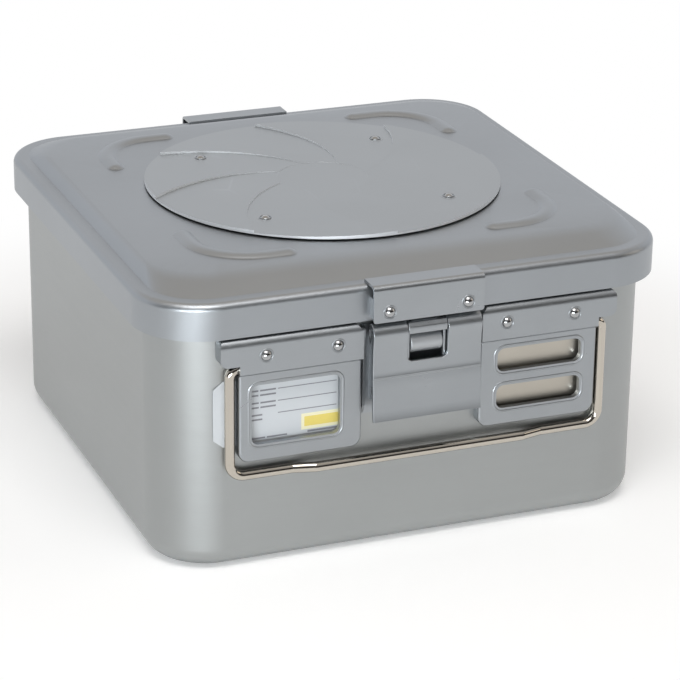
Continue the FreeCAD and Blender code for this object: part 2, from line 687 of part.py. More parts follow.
def hook_plate():
    """Sheet with two arms that grip the ends of the catch barrel, and a tongue between them
    that fills the notch of the lever above the barrel."""
    c = (BARREL_D, BARREL_Z)
    seat_r = BARREL_END_R + HOOK_SEAT
    near, far = HOOK_NOSE_FROM, HOOK_NOSE_TO
    seat, back = polar(*c, seat_r, near), polar(*c, seat_r, far)
    out = LEVER_OUT - 0.9
    top = PIVOT_Z + LEVER_TOP_R - 1.2
    tongue = [(back[0], NOSE_BOTTOM), (out, NOSE_BOTTOM), ("arc", out + 0.3, NOSE_MIDDLE), (out, NOSE_TOP),
              (out - 1.4, top), (back[0], top)]
    sheet = HOOK_PIN_D + PIN_R
    pad_out = LEVER_OUT - 1.0 - LEVER_T - HOOK_GAP
    foot = HOOK_SHOULDER - 3
    arm = [(sheet, foot), (sheet + HOOK_T, foot), (pad_out, HOOK_SHOULDER), (pad_out, NOTCH_BOTTOM),
           (HOOK_ARM_D, NOTCH_BOTTOM + 1.5), (HOOK_ARM_D, NOSE_BOTTOM + 1), (back[0], NOSE_BOTTOM + 1), back,
           ("arc",) + polar(*c, seat_r, (near + far) / 2), seat, (seat[0], BARREL_Z - 4),
           (sheet, BARREL_Z - 8)]
    tongue_half = NOTCH_HALF_W - SIDE_GAP
    parts = [section(arm, HOOK_ARM_IN, HOOK_ARM_OUT), section(arm, -HOOK_ARM_OUT, -HOOK_ARM_IN)]
    parts.append(box(-HOOK_HALF_W, HOOK_HALF_W, sheet, sheet + HOOK_T, HOOK_PIN_Z, HOOK_SHOULDER))
    parts.append(bar_x(PIN_R + HOOK_T, -HOOK_HALF_W, HOOK_HALF_W, HOOK_PIN_D, HOOK_PIN_Z))
    parts.append(box(-HOOK_PAD_HALF_W, HOOK_PAD_HALF_W, sheet, pad_out, foot, HOOK_SHOULDER))
    hook = section(tongue, -tongue_half, tongue_half).fuse(parts)
    bore = bar_x(PIN_R + PIN_FIT, -HOOK_HALF_W - 1, HOOK_HALF_W + 1, HOOK_PIN_D, HOOK_PIN_Z)
    return hook.cut(bore).removeSplitter()


# Holders, card and backing

def holder_form(inset):
    """Outer form of a holder, or its hollow when the inset is the sheet thickness."""
    t = inset
    back = -1.0 if t > 0 else 0.0
    band, panel = BAND_OUT - t, PANEL_OUT - t
    top, roll = BAND_TOP - t, BAND_ROLL - t
    rolled = [(back, top), (band - roll, top), ("arc",) + polar(band - roll, top - roll, roll, 45),
              (band, top - roll)]
    face = rolled + [(band, CREASE_TOP), (panel, CREASE_BOTTOM), (panel, PANEL_BOTTOM + t),
                     (back, PANEL_BOTTOM + t)]
    ear = rolled + [(band, EAR_BOTTOM + t), (back, EAR_BOTTOM + t)]
    body = section(face, PANEL_IN + t, PANEL_EDGE - t)
    form = body.fuse(section(ear, PANEL_EDGE - t - 1, EAR_EDGE - t)).removeSplitter()
    outline = slab(PANEL_IN + t, PANEL_EDGE - t, PANEL_BOTTOM + t, BAND_TOP + 30, PANEL_CORNER - t, -5, 20)
    ear_outline = slab(PANEL_EDGE - 20, EAR_EDGE - t, EAR_BOTTOM + t, BAND_TOP - t, 4.0 - t, -5, 20)
    form = form.common(outline.fuse(ear_outline))
    return form.cut(inner_corner(PANEL_IN + t, top, BAND_CUT - t * (2 - math.sqrt(2)))).removeSplitter()


def inner_corner(x0, z1, leg):
    """Wedge that bevels the top corner of a holder beside the latch."""
    points = ((x0 - 1, z1 - leg - 1), (x0 + leg + 1, z1 + 1), (x0 - 1, z1 + 1), (x0 - 1, z1 - leg - 1))
    face = Part.Face(Part.makePolygon([at(x, -5, z) for x, z in points]))
    return face.extrude(Vector(0, -20, 0))


def window_roll(window):
    """Rim of a window, rolled inward."""
    u0, u1, z0, z1 = window
    ring = slab(u0 - ROLL_T, u1 + ROLL_T, z0 - ROLL_T, z1 + ROLL_T, WINDOW_R + ROLL_T,
                PANEL_OUT - HOLDER_T - ROLL_DEPTH, PANEL_OUT - 0.4)
    return ring


def wire_slot(x0, x1):
    """Round-ended slot, open to the wall, through which the wire leaves its rail."""
    r = WIRE_R + WIRE_CLEAR
    slot = box(x0, x1, -1, WIRE_D, HANDLE_PIVOT_Z - r, HANDLE_PIVOT_Z + r)
    return slot.fuse(bar_x(r, x0, x1, WIRE_D, HANDLE_PIVOT_Z)).removeSplitter()


def holder(windows, with_card):
    outer = holder_form(0)
    front = [e for e in outer.Edges
             if e.BoundBox.YMin < FRONT_Y - PANEL_OUT + 0.01 and e.BoundBox.YLength < 0.01
             and e.BoundBox.YMin > FRONT_Y - PANEL_OUT - 0.01 and e.BoundBox.ZMax < CREASE_BOTTOM + 0.01]
    front = [e for e in front if e.BoundBox.ZMin < CREASE_BOTTOM - 0.1]
    outer = outer.makeFillet(HOLDER_FILLET, front)
    sheet = outer.cut(holder_form(HOLDER_T))
    sheet = sheet.fuse([window_roll(w) for w in windows])
    cuts = [slab(*w, WINDOW_R, 0, 20) for w in windows]
    cuts += [rivet_hole(u, 0, BAND_OUT + 1, HOLDER_RIVET_Z) for u in HOLDER_RIVETS_U]
    cuts.append(box(PANEL_EDGE - 1, EAR_EDGE - HOLDER_T, -1, BAND_OUT - HOLDER_T,
                    EAR_BOTTOM - 1, EAR_BOTTOM + 3))
    cuts.append(wire_slot(PANEL_EDGE - 4, EAR_EDGE - 3))
    if with_card:
        cuts.append(box(PANEL_EDGE - 4, PANEL_EDGE + 1, -0.5, 1.2, CARD_BOTTOM - 0.4, CARD_TOP + 0.4))
    return sheet.cut(cuts).removeSplitter()


def handle_rail():
    """Bar behind the band of a holder. Its end carries the handle."""
    band, panel = BAND_OUT - HOLDER_T, PANEL_OUT - HOLDER_T
    outline = [(0, RAIL_TOP), (band, RAIL_TOP - 0.8), (band, CREASE_TOP), (panel, CREASE_BOTTOM),
               (panel, CREASE_BOTTOM - 0.6), (0, CREASE_BOTTOM - 0.6)]
    bar = section(outline, RAIL_IN, RAIL_EDGE)
    bore = bar_x(WIRE_R + BORE_FIT, HANDLE_END - 0.5, RAIL_EDGE + 1, WIRE_D, HANDLE_PIVOT_Z)
    holes = [rivet_hole(u, -1, BAND_OUT, HOLDER_RIVET_Z) for u in HOLDER_RIVETS_U]
    return bar.cut([bore] + holes).removeSplitter()


def holder_rivets():
    solids = []
    for side in (-1, 1):
        for u in HOLDER_RIVETS_U:
            x = side * u
            body = rivet(x, BAND_OUT, HOLDER_RIVET_Z, BAND_OUT + BODY_WALL + TAIL_T)
            tail = cylinder(RIVET_R - TAIL_IN, TAIL_T, at(x, -BODY_WALL, HOLDER_RIVET_Z), Vector(0, 1, 0))
            solids.append(body.fuse(tail).removeSplitter())
    return Part.makeCompound(solids)


def label_card():
    """Card lying on the wall behind its window. Its free corners are cut."""
    z0, z1 = CARD_BOTTOM, CARD_TOP
    points = [(-CARD_INNER, z0), (-CARD_INNER, z1), (-CARD_EDGE + CARD_CUT, z1),
              (-CARD_EDGE, z1 - CARD_CUT * 0.8), (-CARD_EDGE, z0 + CARD_CUT * 0.8),
              (-CARD_EDGE + CARD_CUT, z0)]
    corners = [at(x, 0, z) for x, z in points]
    return Part.Face(Part.makePolygon(corners + [corners[0]])).extrude(Vector(0, -CARD_T, 0))


def tag_backing():
    return slab(PANEL_IN + HOLDER_T + 1, PANEL_EDGE - HOLDER_T - 1, PANEL_BOTTOM + HOLDER_T + 1,
                CREASE_BOTTOM - 1.0, 3.0, 0, BACKING_T)


# Handle

def rounded_path(points, radii):
    """Wire of straight runs joined by arcs that are tangent to them."""
    edges = []
    here = points[0]
    for i in range(1, len(points) - 1):
        corner = points[i]
        a = (points[i - 1] - corner).normalize()
        b = (points[i + 1] - corner).normalize()
        half = a.getAngle(b) / 2
        reach = radii[i - 1] / math.tan(half)
        start, end = corner + a * reach, corner + b * reach
        bisector = (a + b).normalize()
        middle = corner + bisector * (radii[i - 1] / math.sin(half) - radii[i - 1])
        edges.append(Part.LineSegment(here, start).toShape())
        edges.append(Part.Arc(start, middle, end).toShape())
        here = end
    edges.append(Part.LineSegment(here, points[-1]).toShape())
    return Part.Wire(edges)


def handle():
    """Bent wire with two ends in the rails, two legs, and a grip that stands out a little."""
    right = [(HANDLE_END, WIRE_D, HANDLE_PIVOT_Z), (HANDLE_U, WIRE_D, HANDLE_PIVOT_Z),
             (HANDLE_U, WIRE_D, HANDLE_BOTTOM), (JOG_OUTER, WIRE_D, HANDLE_BOTTOM),
             (JOG_INNER, WIRE_D + JOG_OUT, HANDLE_BOTTOM)]
    radii = [HANDLE_BEND, HANDLE_CORNER, JOG_BEND, JOG_BEND]
    points = [at(x, d, z) for x, d, z in right]
    points += [at(-x, d, z) for x, d, z in reversed(right)]
    path = rounded_path(points, radii + radii[::-1])
    ring = Part.Wire(Part.makeCircle(WIRE_R, points[0], Vector(1, 0, 0)))
    return path.makePipeShell([ring], True, True)


def save(name, shape):
    if not shape.isValid():
        print("NOT VALID", name)
    shape.exportStep("parts/%s.step" % name)
    print("%-24s solids %2d volume %10.1f" % (name, len(shape.Solids), shape.Volume))


def main():
    os.makedirs("parts", exist_ok=True)
    save("body_pan", body_pan())
    save("lid_shell", lid_shell())
    save("lid_gasket", lid_gasket())
    save("filter_cover", filter_cover())
    save("cover_spacers", cover_spacers())
    save("cover_rivets", cover_rivets())
    save("filter_sheet", filter_sheet())
    save("filter_retainer", filter_retainer())
    save("filter_stud", filter_stud())
    save("filter_knob", filter_knob())
    rails = Part.makeCompound([handle_rail(), mirrored(handle_rail())])
    fittings = {
        "lid_bracket": lid_bracket(),
        "bracket_rivets": bracket_rivets(),
        "lid_catch": lid_catch(),
        "latch_base": latch_base(),
        "base_rivets": base_rivets(),
        "latch_lever": latch_lever(),
        "lever_pins": lever_pins(),
        "hook_pin": hook_pin(),
        "hook_plate": hook_plate(),
        "card_holder": mirrored(holder([CARD_WINDOW], True)),
        "tag_holder": holder(TAG_WINDOWS, False),
        "handle_rails": rails,
        "holder_rivets": holder_rivets(),
        "label_card": label_card(),
        "tag_backing": tag_backing(),
        "handle": handle(),
    }
    for name, shape in fittings.items():
        save("front_" + name, shape)
        save("rear_" + name, turned(shape))


main()
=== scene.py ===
import json
import math
from collections import namedtuple

import bmesh
import bpy
from bpy.props import (
    FloatProperty,
    FloatVectorProperty,
    IntProperty,
    PointerProperty,
)
from mathutils import Matrix, Vector


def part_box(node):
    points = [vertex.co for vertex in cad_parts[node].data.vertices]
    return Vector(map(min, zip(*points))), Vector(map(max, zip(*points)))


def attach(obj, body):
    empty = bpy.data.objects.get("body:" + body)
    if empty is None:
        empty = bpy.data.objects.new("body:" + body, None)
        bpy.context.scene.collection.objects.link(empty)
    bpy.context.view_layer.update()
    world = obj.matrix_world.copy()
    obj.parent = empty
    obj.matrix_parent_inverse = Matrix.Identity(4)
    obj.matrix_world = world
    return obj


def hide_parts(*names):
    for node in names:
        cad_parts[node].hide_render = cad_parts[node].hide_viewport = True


bl_info = {
    "name": "Sterilization Container Finishes",
    "version": (1, 0, 0),
    "blender": (4, 5, 0),
    "location": "3D View > Sidebar > Container",
    "description": "Metal finishes, card print, pressed rings and lips, and a studio for a container",
    "category": "Object",
}

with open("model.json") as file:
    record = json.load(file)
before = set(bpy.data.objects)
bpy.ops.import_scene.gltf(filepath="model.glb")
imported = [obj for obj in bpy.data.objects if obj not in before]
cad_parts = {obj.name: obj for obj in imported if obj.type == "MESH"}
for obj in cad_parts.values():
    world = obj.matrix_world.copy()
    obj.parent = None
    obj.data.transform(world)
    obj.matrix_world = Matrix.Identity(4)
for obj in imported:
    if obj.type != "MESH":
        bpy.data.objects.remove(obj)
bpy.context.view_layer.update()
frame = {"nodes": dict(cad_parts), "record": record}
MM = 0.001
SIDES = ("front", "rear")
LID_RIM_TOP = 155.0 * MM

# How the loose triangles of the CAD become a mesh: points this close become one, faces
# that turn less than this become one, and an edge this near a crease lies on it
MERGE_REACH = 2e-6
LEVEL_BELOW = math.radians(0.6)
CREASE_REACH = 0.02 * MM

# Rounds on crisp edges
EDGE_ROUND = 0.30 * MM
COVER_ROUND = 0.45 * MM
ROUND_STEPS = 2
ROUND_FROM = math.radians(38)
FLAT_FACE_LEAD = 80

# Angles in degrees from which an edge stays crisp
COVER_CRISP = 12.0
SHEET_CRISP = 24.0
TURNED_CRISP = 30.0
PAN_CRISP = 35.0
ROUND_CRISP = 40.0

# Print on the front card. Middles are measured across from the container's middle, then
# up from its foot. The words are bars of these lengths.
CAPTION_WORDS = ((4.8 * MM, 8.9 * MM), (5.0 * MM, 8.6 * MM), (7.0 * MM,))
CAPTION_LINES = 2
NOTE_WORDS = (8.6 * MM, 11.4 * MM)
RULE_MIDDLE = -62.6 * MM
NUMBER_MIDDLE = -53.4 * MM
NUMBER_LENGTH = 18.0 * MM
NUMBER_STRETCH = 1.2
FIELD_MIDDLE = (-54.6 * MM, 79.8 * MM)
FIELD_SIZE = (22.6 * MM, 9.2 * MM)
INDICATOR_MIDDLE = (-53.9 * MM, 79.8 * MM)
INDICATOR_SIZE = (20.6 * MM, 5.6 * MM)
INK_THICKNESS = 0.03 * MM

# Openings of the front holders: left, right, bottom and top, seen from the front
HOLDER_WINDOWS = {
    "card_holder": ((-95.9 * MM, -46.4 * MM, 73.2 * MM, 107.0 * MM),),
    "tag_holder": (
        (44.3 * MM, 93.8 * MM, 94.9 * MM, 108.2 * MM),
        (44.3 * MM, 93.8 * MM, 73.4 * MM, 86.7 * MM),
    ),
}
WINDOW_CORNER = 4.0 * MM

# Steps round a pressed ring or lip and round its section
RING_STEPS = 40
RING_SECTION_STEPS = 10
LIP_CORNER_STEPS = 8
LIP_SECTION_STEPS = 16

# Sheets with rings, by the rivets that the rings go round
RINGED_SHEETS = {"bracket": "lid_bracket", "holder": "card_holder"}

# Materials that several operators use
FITTING_STEEL = "Satin fitting steel"
RIVET_STEEL = "Bright rivet steel"
EVEN = (1.0, 1.0, 1.0)
BUMP_DEPTH = 0.1 * MM
NOISE_SPAN = (0.3, 0.7)


# Helpers for meshes

def side_sign(side):
    """-1 for the side that faces -Y, 1 for the other."""
    return -1 if side == "front" else 1


def link(name, data):
    """New object with the data, in the scene."""
    obj = bpy.data.objects.new(name, data)
    bpy.context.scene.collection.objects.link(obj)
    return obj


def cad_body(node):
    """Name of the body that carries a node."""
    for body, members in frame["record"]["behaviour"]["bodies"].items():
        if node in members:
            return body
    raise RuntimeError("no body holds " + node)


def cad_slot(node):
    """Material slot of a node in the record."""
    for row in frame["record"]["subparts"]:
        if row["node"] == node:
            return row["material_slot"]
    raise RuntimeError("no slot for " + node)


def merged(node):
    """The mesh of a CAD node with its loose triangles joined, open for editing."""
    bm = bmesh.new()
    bm.from_mesh(frame["nodes"][node].data)
    bmesh.ops.remove_doubles(bm, verts=bm.verts, dist=MERGE_REACH)
    return bm


def smooth_by_angle(bm, limit, creases=()):
    """Round faces shade smooth, and edges sharper than the limit stay crisp. Edges at the
    heights of the creases stay crisp from a third of that angle on."""
    for face in bm.faces:
        face.smooth = True
    for edge in bm.edges:
        if not edge.is_manifold:
            edge.smooth = False
            continue
        heights = [vert.co.z for vert in edge.verts]
        folded = any(max(abs(z - crease) for z in heights) < CREASE_REACH for crease in creases)
        edge.smooth = edge.calc_face_angle(0.0) < (limit / 3 if folded else limit)


def skinned(node, name, material, crisp, edge=0.0, creases=()):
    """Piece with the shape of a CAD node, shaded smooth below the crisp angle in degrees,
    and with a small round of the given width on its crisp edges."""
    bm = merged(node)
    if edge > 0:
        bmesh.ops.dissolve_limit(bm, angle_limit=LEVEL_BELOW, verts=bm.verts, edges=bm.edges)
    smooth_by_angle(bm, math.radians(crisp), creases)
    mesh = bpy.data.meshes.new(name)
    bm.to_mesh(mesh)
    bm.free()
    mesh = finished(name, mesh, edge)
    piece = link(name, mesh)
    mesh.materials.clear()
    mesh.materials.append(material)
    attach(piece, cad_body(node))
    cad_slot(node)
    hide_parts(node)
    return piece


def finished(name, mesh, width):
    """The mesh with a small round on its crisp edges. Its large faces set the normals, so
    that flat sheet stays flat next to small rounds and holes."""
    carrier = link(name + "_carrier", mesh)
    if width > 0:
        bevel = carrier.modifiers.new("Edge round", "BEVEL")
        bevel.width = width
        bevel.segments = ROUND_STEPS
        bevel.limit_method = "ANGLE"
        bevel.angle_limit = ROUND_FROM
        bevel.use_clamp_overlap = True
    weighted = carrier.modifiers.new("Flat faces lead", "WEIGHTED_NORMAL")
    weighted.mode = "FACE_AREA"
    weighted.weight = FLAT_FACE_LEAD
    weighted.keep_sharp = True
    done = evaluated(carrier, name)
    carrier.modifiers.clear()
    bpy.data.objects.remove(carrier)
    return done


def evaluated(carrier, name):
    """Plain mesh of what the carrier's modifiers make."""
    bpy.context.view_layer.update()
    graph = bpy.context.evaluated_depsgraph_get()
    mesh = bpy.data.meshes.new_from_object(carrier.evaluated_get(graph))
    mesh.name = name
    return mesh


def turned_to(side, mesh):
    """Turns a mesh that was made for the front to its own side."""
    if side == "rear":
        mesh.transform(Matrix.Rotation(math.pi, 4, "Z"))
    return mesh


# Helpers for node trees

def put(tree, kind, feeds=None, **values):
    """Adds a node, sets its properties and feeds its inputs."""
    node = tree.nodes.new(kind)
    for key, value in values.items():
        setattr(node, key, value)
    feed(tree, node, feeds or {})
    return node


def feed(tree, node, feeds):
    """Feeds inputs of a node, by name or place. A feed is a plain value, a socket, or a
    node that stands for its first output."""
    for key, source in feeds.items():
        if isinstance(source, bpy.types.Node):
            source = source.outputs[0]
        if isinstance(source, bpy.types.NodeSocket):
            tree.links.new(source, node.inputs[key])
        else:
            node.inputs[key].default_value = source


def mapped(tree, value, low, high, to_low=0.0, to_high=1.0, form="LINEAR"):
    """Output that carries the value from one range to another and stays inside that."""
    node = put(tree, "ShaderNodeMapRange", {
        "Value": value, "From Min": low, "From Max": high, "To Min": to_low, "To Max": to_high,
    }, interpolation_type=form)
    return node.outputs["Result"]


def blended(tree, factor, first, second, form="MIX"):
    """Output with one colour blended into another."""
    node = put(tree, "ShaderNodeMix", {"Factor": factor, "A": first, "B": second},
               data_type="RGBA", blend_type=form)
    return node.outputs["Result"]


def new_group(name, kind, inputs, outputs):
    """Node group with the named sockets, and the outputs of its input node."""
    tree = bpy.data.node_groups.new(name, kind)
    for in_out, sockets in (("INPUT", inputs), ("OUTPUT", outputs)):
        for label, form in sockets.items():
            tree.interface.new_socket(name=label, in_out=in_out, socket_type="NodeSocket" + form)
    return tree, put(tree, "NodeGroupInput").outputs


# Node groups shared by the materials

COARSE_SCALE = 0.12
COARSE_WEIGHT = 0.35
SCRATCH_SCALE = 30.0
SCRATCH_STRETCH = (1.0, 0.35, 3.5)
SCRATCH_WIDTH = 0.02
SCRATCH_BREAKS = (0.56, 0.66)
# Painted highlight: faces whose normal's Z lies below these slopes get a lighter colour
HIGHLIGHT_SLOPES = (0.45, 0.92)


def metal_grain():
    """Fine grain of a brushed or blasted surface. The stretch sets its direction."""
    name = "Metal grain"
    if name in bpy.data.node_groups:
        return bpy.data.node_groups[name]
    tree, start = new_group(name, "ShaderNodeTree",
                            {"Vector": "Vector", "Stretch": "Vector", "Scale": "Float"},
                            {"Height": "Float", "Tone": "Float"})
    place = put(tree, "ShaderNodeVectorMath", {0: start["Vector"], 1: start["Stretch"]},
                operation="MULTIPLY")
    fine = put(tree, "ShaderNodeTexNoise", {
        "Vector": place, "Scale": start["Scale"], "Detail": 3.0, "Roughness": 0.6,
    })
    coarse_scale = put(tree, "ShaderNodeMath", {0: start["Scale"], 1: COARSE_SCALE},
                       operation="MULTIPLY")
    coarse = put(tree, "ShaderNodeTexNoise", {
        "Vector": place, "Scale": coarse_scale, "Detail": 2.0,
    })
    tone = put(tree, "ShaderNodeMix", {
        0: COARSE_WEIGHT, 2: fine.outputs["Fac"], 3: coarse.outputs["Fac"],
    }, data_type="FLOAT")
    put(tree, "NodeGroupOutput", {"Height": fine.outputs["Fac"], "Tone": tone})
    return tree


def handling_marks():
    """Cloudy wipe marks as values round 0.5, and a mask of a few thin scratches."""
    name = "Handling marks"
    if name in bpy.data.node_groups:
        return bpy.data.node_groups[name]
    tree, start = new_group(name, "ShaderNodeTree",
                            {"Vector": "Vector", "Cloud scale": "Float", "Scratch scale": "Float"},
                            {"Cloud": "Float", "Scratch": "Float"})
    cloud = put(tree, "ShaderNodeTexNoise", {
        "Vector": start["Vector"], "Scale": start["Cloud scale"], "Detail": 4.0, "Distortion": 0.4,
    })
    thin = put(tree, "ShaderNodeVectorMath", {0: start["Vector"], 1: SCRATCH_STRETCH},
               operation="MULTIPLY")
    lines = put(tree, "ShaderNodeTexVoronoi", {"Vector": thin, "Scale": start["Scratch scale"]},
                feature="DISTANCE_TO_EDGE")
    line = mapped(tree, lines.outputs["Distance"], 0.0, SCRATCH_WIDTH, 1.0, 0.0)
    broken = mapped(tree, cloud.outputs["Fac"], *SCRATCH_BREAKS)
    scratch = put(tree, "ShaderNodeMath", {0: line, 1: broken}, operation="MULTIPLY")
    put(tree, "NodeGroupOutput", {"Cloud": cloud.outputs["Fac"], "Scratch": scratch})
    return tree


def painted_upright_highlight():
    """Mask that is 1 on the upright edges of a flat sheet and 0 on its top. It marks where a painted
    highlight goes.
    """
    name = "Cut edges"
    if name in bpy.data.node_groups:
        return bpy.data.node_groups[name]
    tree, start = new_group(name, "ShaderNodeTree", {"Normal": "Vector"}, {"Mask": "Float"})
    parts = put(tree, "ShaderNodeSeparateXYZ", {0: start["Normal"]})
    level = put(tree, "ShaderNodeMath", {0: parts.outputs["Z"]}, operation="ABSOLUTE")
    put(tree, "NodeGroupOutput", {
        "Mask": mapped(tree, level, *HIGHLIGHT_SLOPES, 1.0, 0.0, "SMOOTHSTEP"),
    })
    return tree


# Materials

def new_material(name):
    """Material with an empty node tree."""
    material = bpy.data.materials.new(name)
    material.use_nodes = True
    material.node_tree.nodes.clear()
    return material, material.node_tree


def toned(tint, factor):
    """The tint made lighter or darker, with full alpha."""
    return (*[min(1.0, part * factor) for part in tint], 1.0)


def worked_metal(name, tint, rough, grain, bump, stretch=EVEN, tone=0.06, cloud=0.05,
                 span=0.08, mark_scale=7.0, scratches=0.0):
    """Metal with grain in its colour, gloss and surface, clouded by handling."""
    material, tree = new_material(name)
    place = put(tree, "ShaderNodeTexCoord").outputs["Object"]
    grains = put(tree, "ShaderNodeGroup", {
        "Vector": place, "Stretch": stretch, "Scale": grain,
    }, node_tree=metal_grain()).outputs
    marks = put(tree, "ShaderNodeGroup", {
        "Vector": place, "Cloud scale": mark_scale, "Scratch scale": SCRATCH_SCALE,
    }, node_tree=handling_marks()).outputs
    base = blended(tree, grains["Tone"], toned(tint, 1 - tone), toned(tint, 1 + tone))
    shade = mapped(tree, marks["Cloud"], *NOISE_SPAN, 1 - cloud, 1.0)
    gloss = mapped(tree, grains["Tone"], *NOISE_SPAN, rough - span / 2, rough + span / 2)
    scratched = put(tree, "ShaderNodeMath", {0: marks["Scratch"], 1: -scratches, 2: gloss},
                    operation="MULTIPLY_ADD")
    bumped = put(tree, "ShaderNodeBump", {
        "Strength": bump, "Distance": BUMP_DEPTH, "Height": grains["Height"],
    })
    shader = put(tree, "ShaderNodeBsdfPrincipled", {
        "Base Color": blended(tree, 1.0, base, shade, "MULTIPLY"), "Roughness": scratched,
        "Normal": bumped, "Metallic": 1.0,
    })
    put(tree, "ShaderNodeOutputMaterial", {"Surface": shader})
    return material


def pan_metal(finish):
    """Anodised aluminium of the pan, brushed round its walls."""
    return worked_metal("Anodised pan aluminium", finish.pan_colour, finish.pan_roughness,
                        grain=finish.grain_scale, bump=0.26, stretch=(0.06, 0.06, 1.0))


def lid_metal(finish):
    """Aluminium of the lid with the even grain of glass bead blasting."""
    return worked_metal("Blasted lid aluminium", finish.lid_colour, finish.lid_roughness,
                        grain=finish.grain_scale * 0.8, bump=0.08, tone=0.03, cloud=0.06,
                        span=0.05, mark_scale=9.0)


def cover_metal(finish):
    """Filter cover, smoother than the lid, with a painted highlight: its upright faces and step edges
    get a lighter colour and duller gloss than its top.
    """
    material = worked_metal("Satin cover aluminium", finish.cover_colour, finish.cover_roughness,
                            grain=finish.grain_scale * 0.6, bump=0.004, tone=0.004, cloud=0.04,
                            span=0.004, mark_scale=14.0, scratches=0.08)
    tree = material.node_tree
    shader = next(node for node in tree.nodes if node.type == "BSDF_PRINCIPLED")
    worn = shader.inputs["Base Color"].links[0].from_socket
    gloss = shader.inputs["Roughness"].links[0].from_socket
    place = put(tree, "ShaderNodeTexCoord")
    edges = put(tree, "ShaderNodeGroup", {"Normal": place.outputs["Normal"]},
                node_tree=painted_upright_highlight())
    # Painted highlight: upright faces and step edges get a lighter colour and duller gloss than the
    # top
    dull = put(tree, "ShaderNodeMix", {0: edges, 2: gloss, 3: finish.highlight_roughness},
               data_type="FLOAT")
    feed(tree, shader, {
        "Base Color": blended(tree, edges, worn, toned(finish.highlight_colour, 1.0)),
        "Roughness": dull,
    })
    return material


def fitting_metal(finish):
    """Sheet steel of latches and holders with a satin finish drawn along X."""
    return worked_metal(FITTING_STEEL, finish.fitting_colour, finish.fitting_roughness,
                        grain=finish.grain_scale, bump=0.12, stretch=(0.05, 1.0, 1.0), tone=0.05,
                        mark_scale=22.0, scratches=0.10)


def cast_metal(finish):
    """Dull cast steel of the catch and its barrel."""
    return worked_metal("Dull catch steel", finish.cast_colour, rough=0.55,
                        grain=finish.grain_scale * 0.8, bump=0.08, tone=0.03, cloud=0.04,
                        mark_scale=40.0)


def rivet_metal(finish):
    """Bright heads of rivets and pins."""
    return worked_metal(RIVET_STEEL, finish.rivet_colour, rough=0.17,
                        grain=finish.grain_scale * 1.5, bump=0.05, tone=0.03, cloud=0.03,
                        mark_scale=90.0)


def backing_metal(finish):
    """Bright rolled sheet behind the tag slots."""
    return worked_metal("Bright backing sheet", finish.backing_colour, rough=0.40,
                        grain=finish.grain_scale * 0.5, bump=0.06, stretch=(0.03, 1.0, 1.0),
                        tone=0.05, cloud=0.10, mark_scale=18.0)


def wire_chrome(finish):
    """Polished chrome of the wire handle with faint fingerprints."""
    return worked_metal("Polished wire chrome", finish.chrome_colour, rough=0.06,
                        grain=250.0, bump=0.02, tone=0.01, cloud=0.03, span=0.05,
                        mark_scale=30.0)


def dull_material(name, tint, rough, grain, bump, tone, sheen=0.0, span=0.1):
    """Paper, rubber, print and other finishes that are not metal."""
    material, tree = new_material(name)
    place = put(tree, "ShaderNodeTexCoord")
    grains = put(tree, "ShaderNodeGroup", {
        "Vector": place.outputs["Object"], "Stretch": EVEN, "Scale": grain,
    }, node_tree=metal_grain()).outputs
    bumped = put(tree, "ShaderNodeBump", {
        "Strength": bump, "Distance": BUMP_DEPTH, "Height": grains["Height"],
    })
    shader = put(tree, "ShaderNodeBsdfPrincipled", {
        "Base Color": blended(tree, grains["Tone"], toned(tint, 1 - tone), toned(tint, 1 + tone)),
        "Roughness": mapped(tree, grains["Height"], 0.0, 1.0, rough - span / 2,
                            min(1.0, rough + span / 2)),
        "Normal": bumped, "Sheen Weight": sheen,
    })
    put(tree, "ShaderNodeOutputMaterial", {"Surface": shader})
    return material


def gasket_rubber(finish):
    """Silicone of the lid's gasket."""
    return dull_material("Silicone gasket", finish.gasket_colour, rough=0.62, grain=900.0,
                         bump=0.2, tone=0.05)


def filter_paper(finish):
    """Soft paper of the filter sheet."""
    return dull_material("Filter paper", finish.filter_colour, rough=0.9, grain=1400.0,
                         bump=0.5, tone=0.05, sheen=0.1)


def card_stock(finish):
    """Stiff paper of the label card."""
    return dull_material("Label card", finish.card_colour, rough=0.55, grain=1800.0,
                         bump=0.15, tone=0.015)


def card_ink(name, tint, tone):
    """Print on the card in one colour."""
    return dull_material(name, tint, rough=0.5, grain=2500.0, bump=0.05, tone=tone)


# Settings

def colour(name, text, value):
    """Setting for a colour."""
    return FloatVectorProperty(name=name, description=text, subtype="COLOR", size=3, min=0.0,
                               max=1.0, default=value)


def length(name, text, value, low=0.0, high=1.0):
    """Setting for a size in metres."""
    return FloatProperty(name=name, description=text, default=value, min=low, max=high,
                         unit="LENGTH", precision=4)


def share(name, text, value):
    """Setting for a part of a whole."""
    return FloatProperty(name=name, description=text, default=value, min=0.0, max=1.0,
                         subtype="FACTOR")


def angle(name, text, degrees):
    """Setting for an angle, given in degrees."""
    return FloatProperty(name=name, description=text, default=math.radians(degrees),
                         subtype="ANGLE")


def number(name, text, value, low, high):
    """Setting for a plain number."""
    return FloatProperty(name=name, description=text, default=value, min=low, max=high)


def watts(name, text, value):
    """Setting for the power of a lamp."""
    return number(name, text, value, 0.0, 500.0)


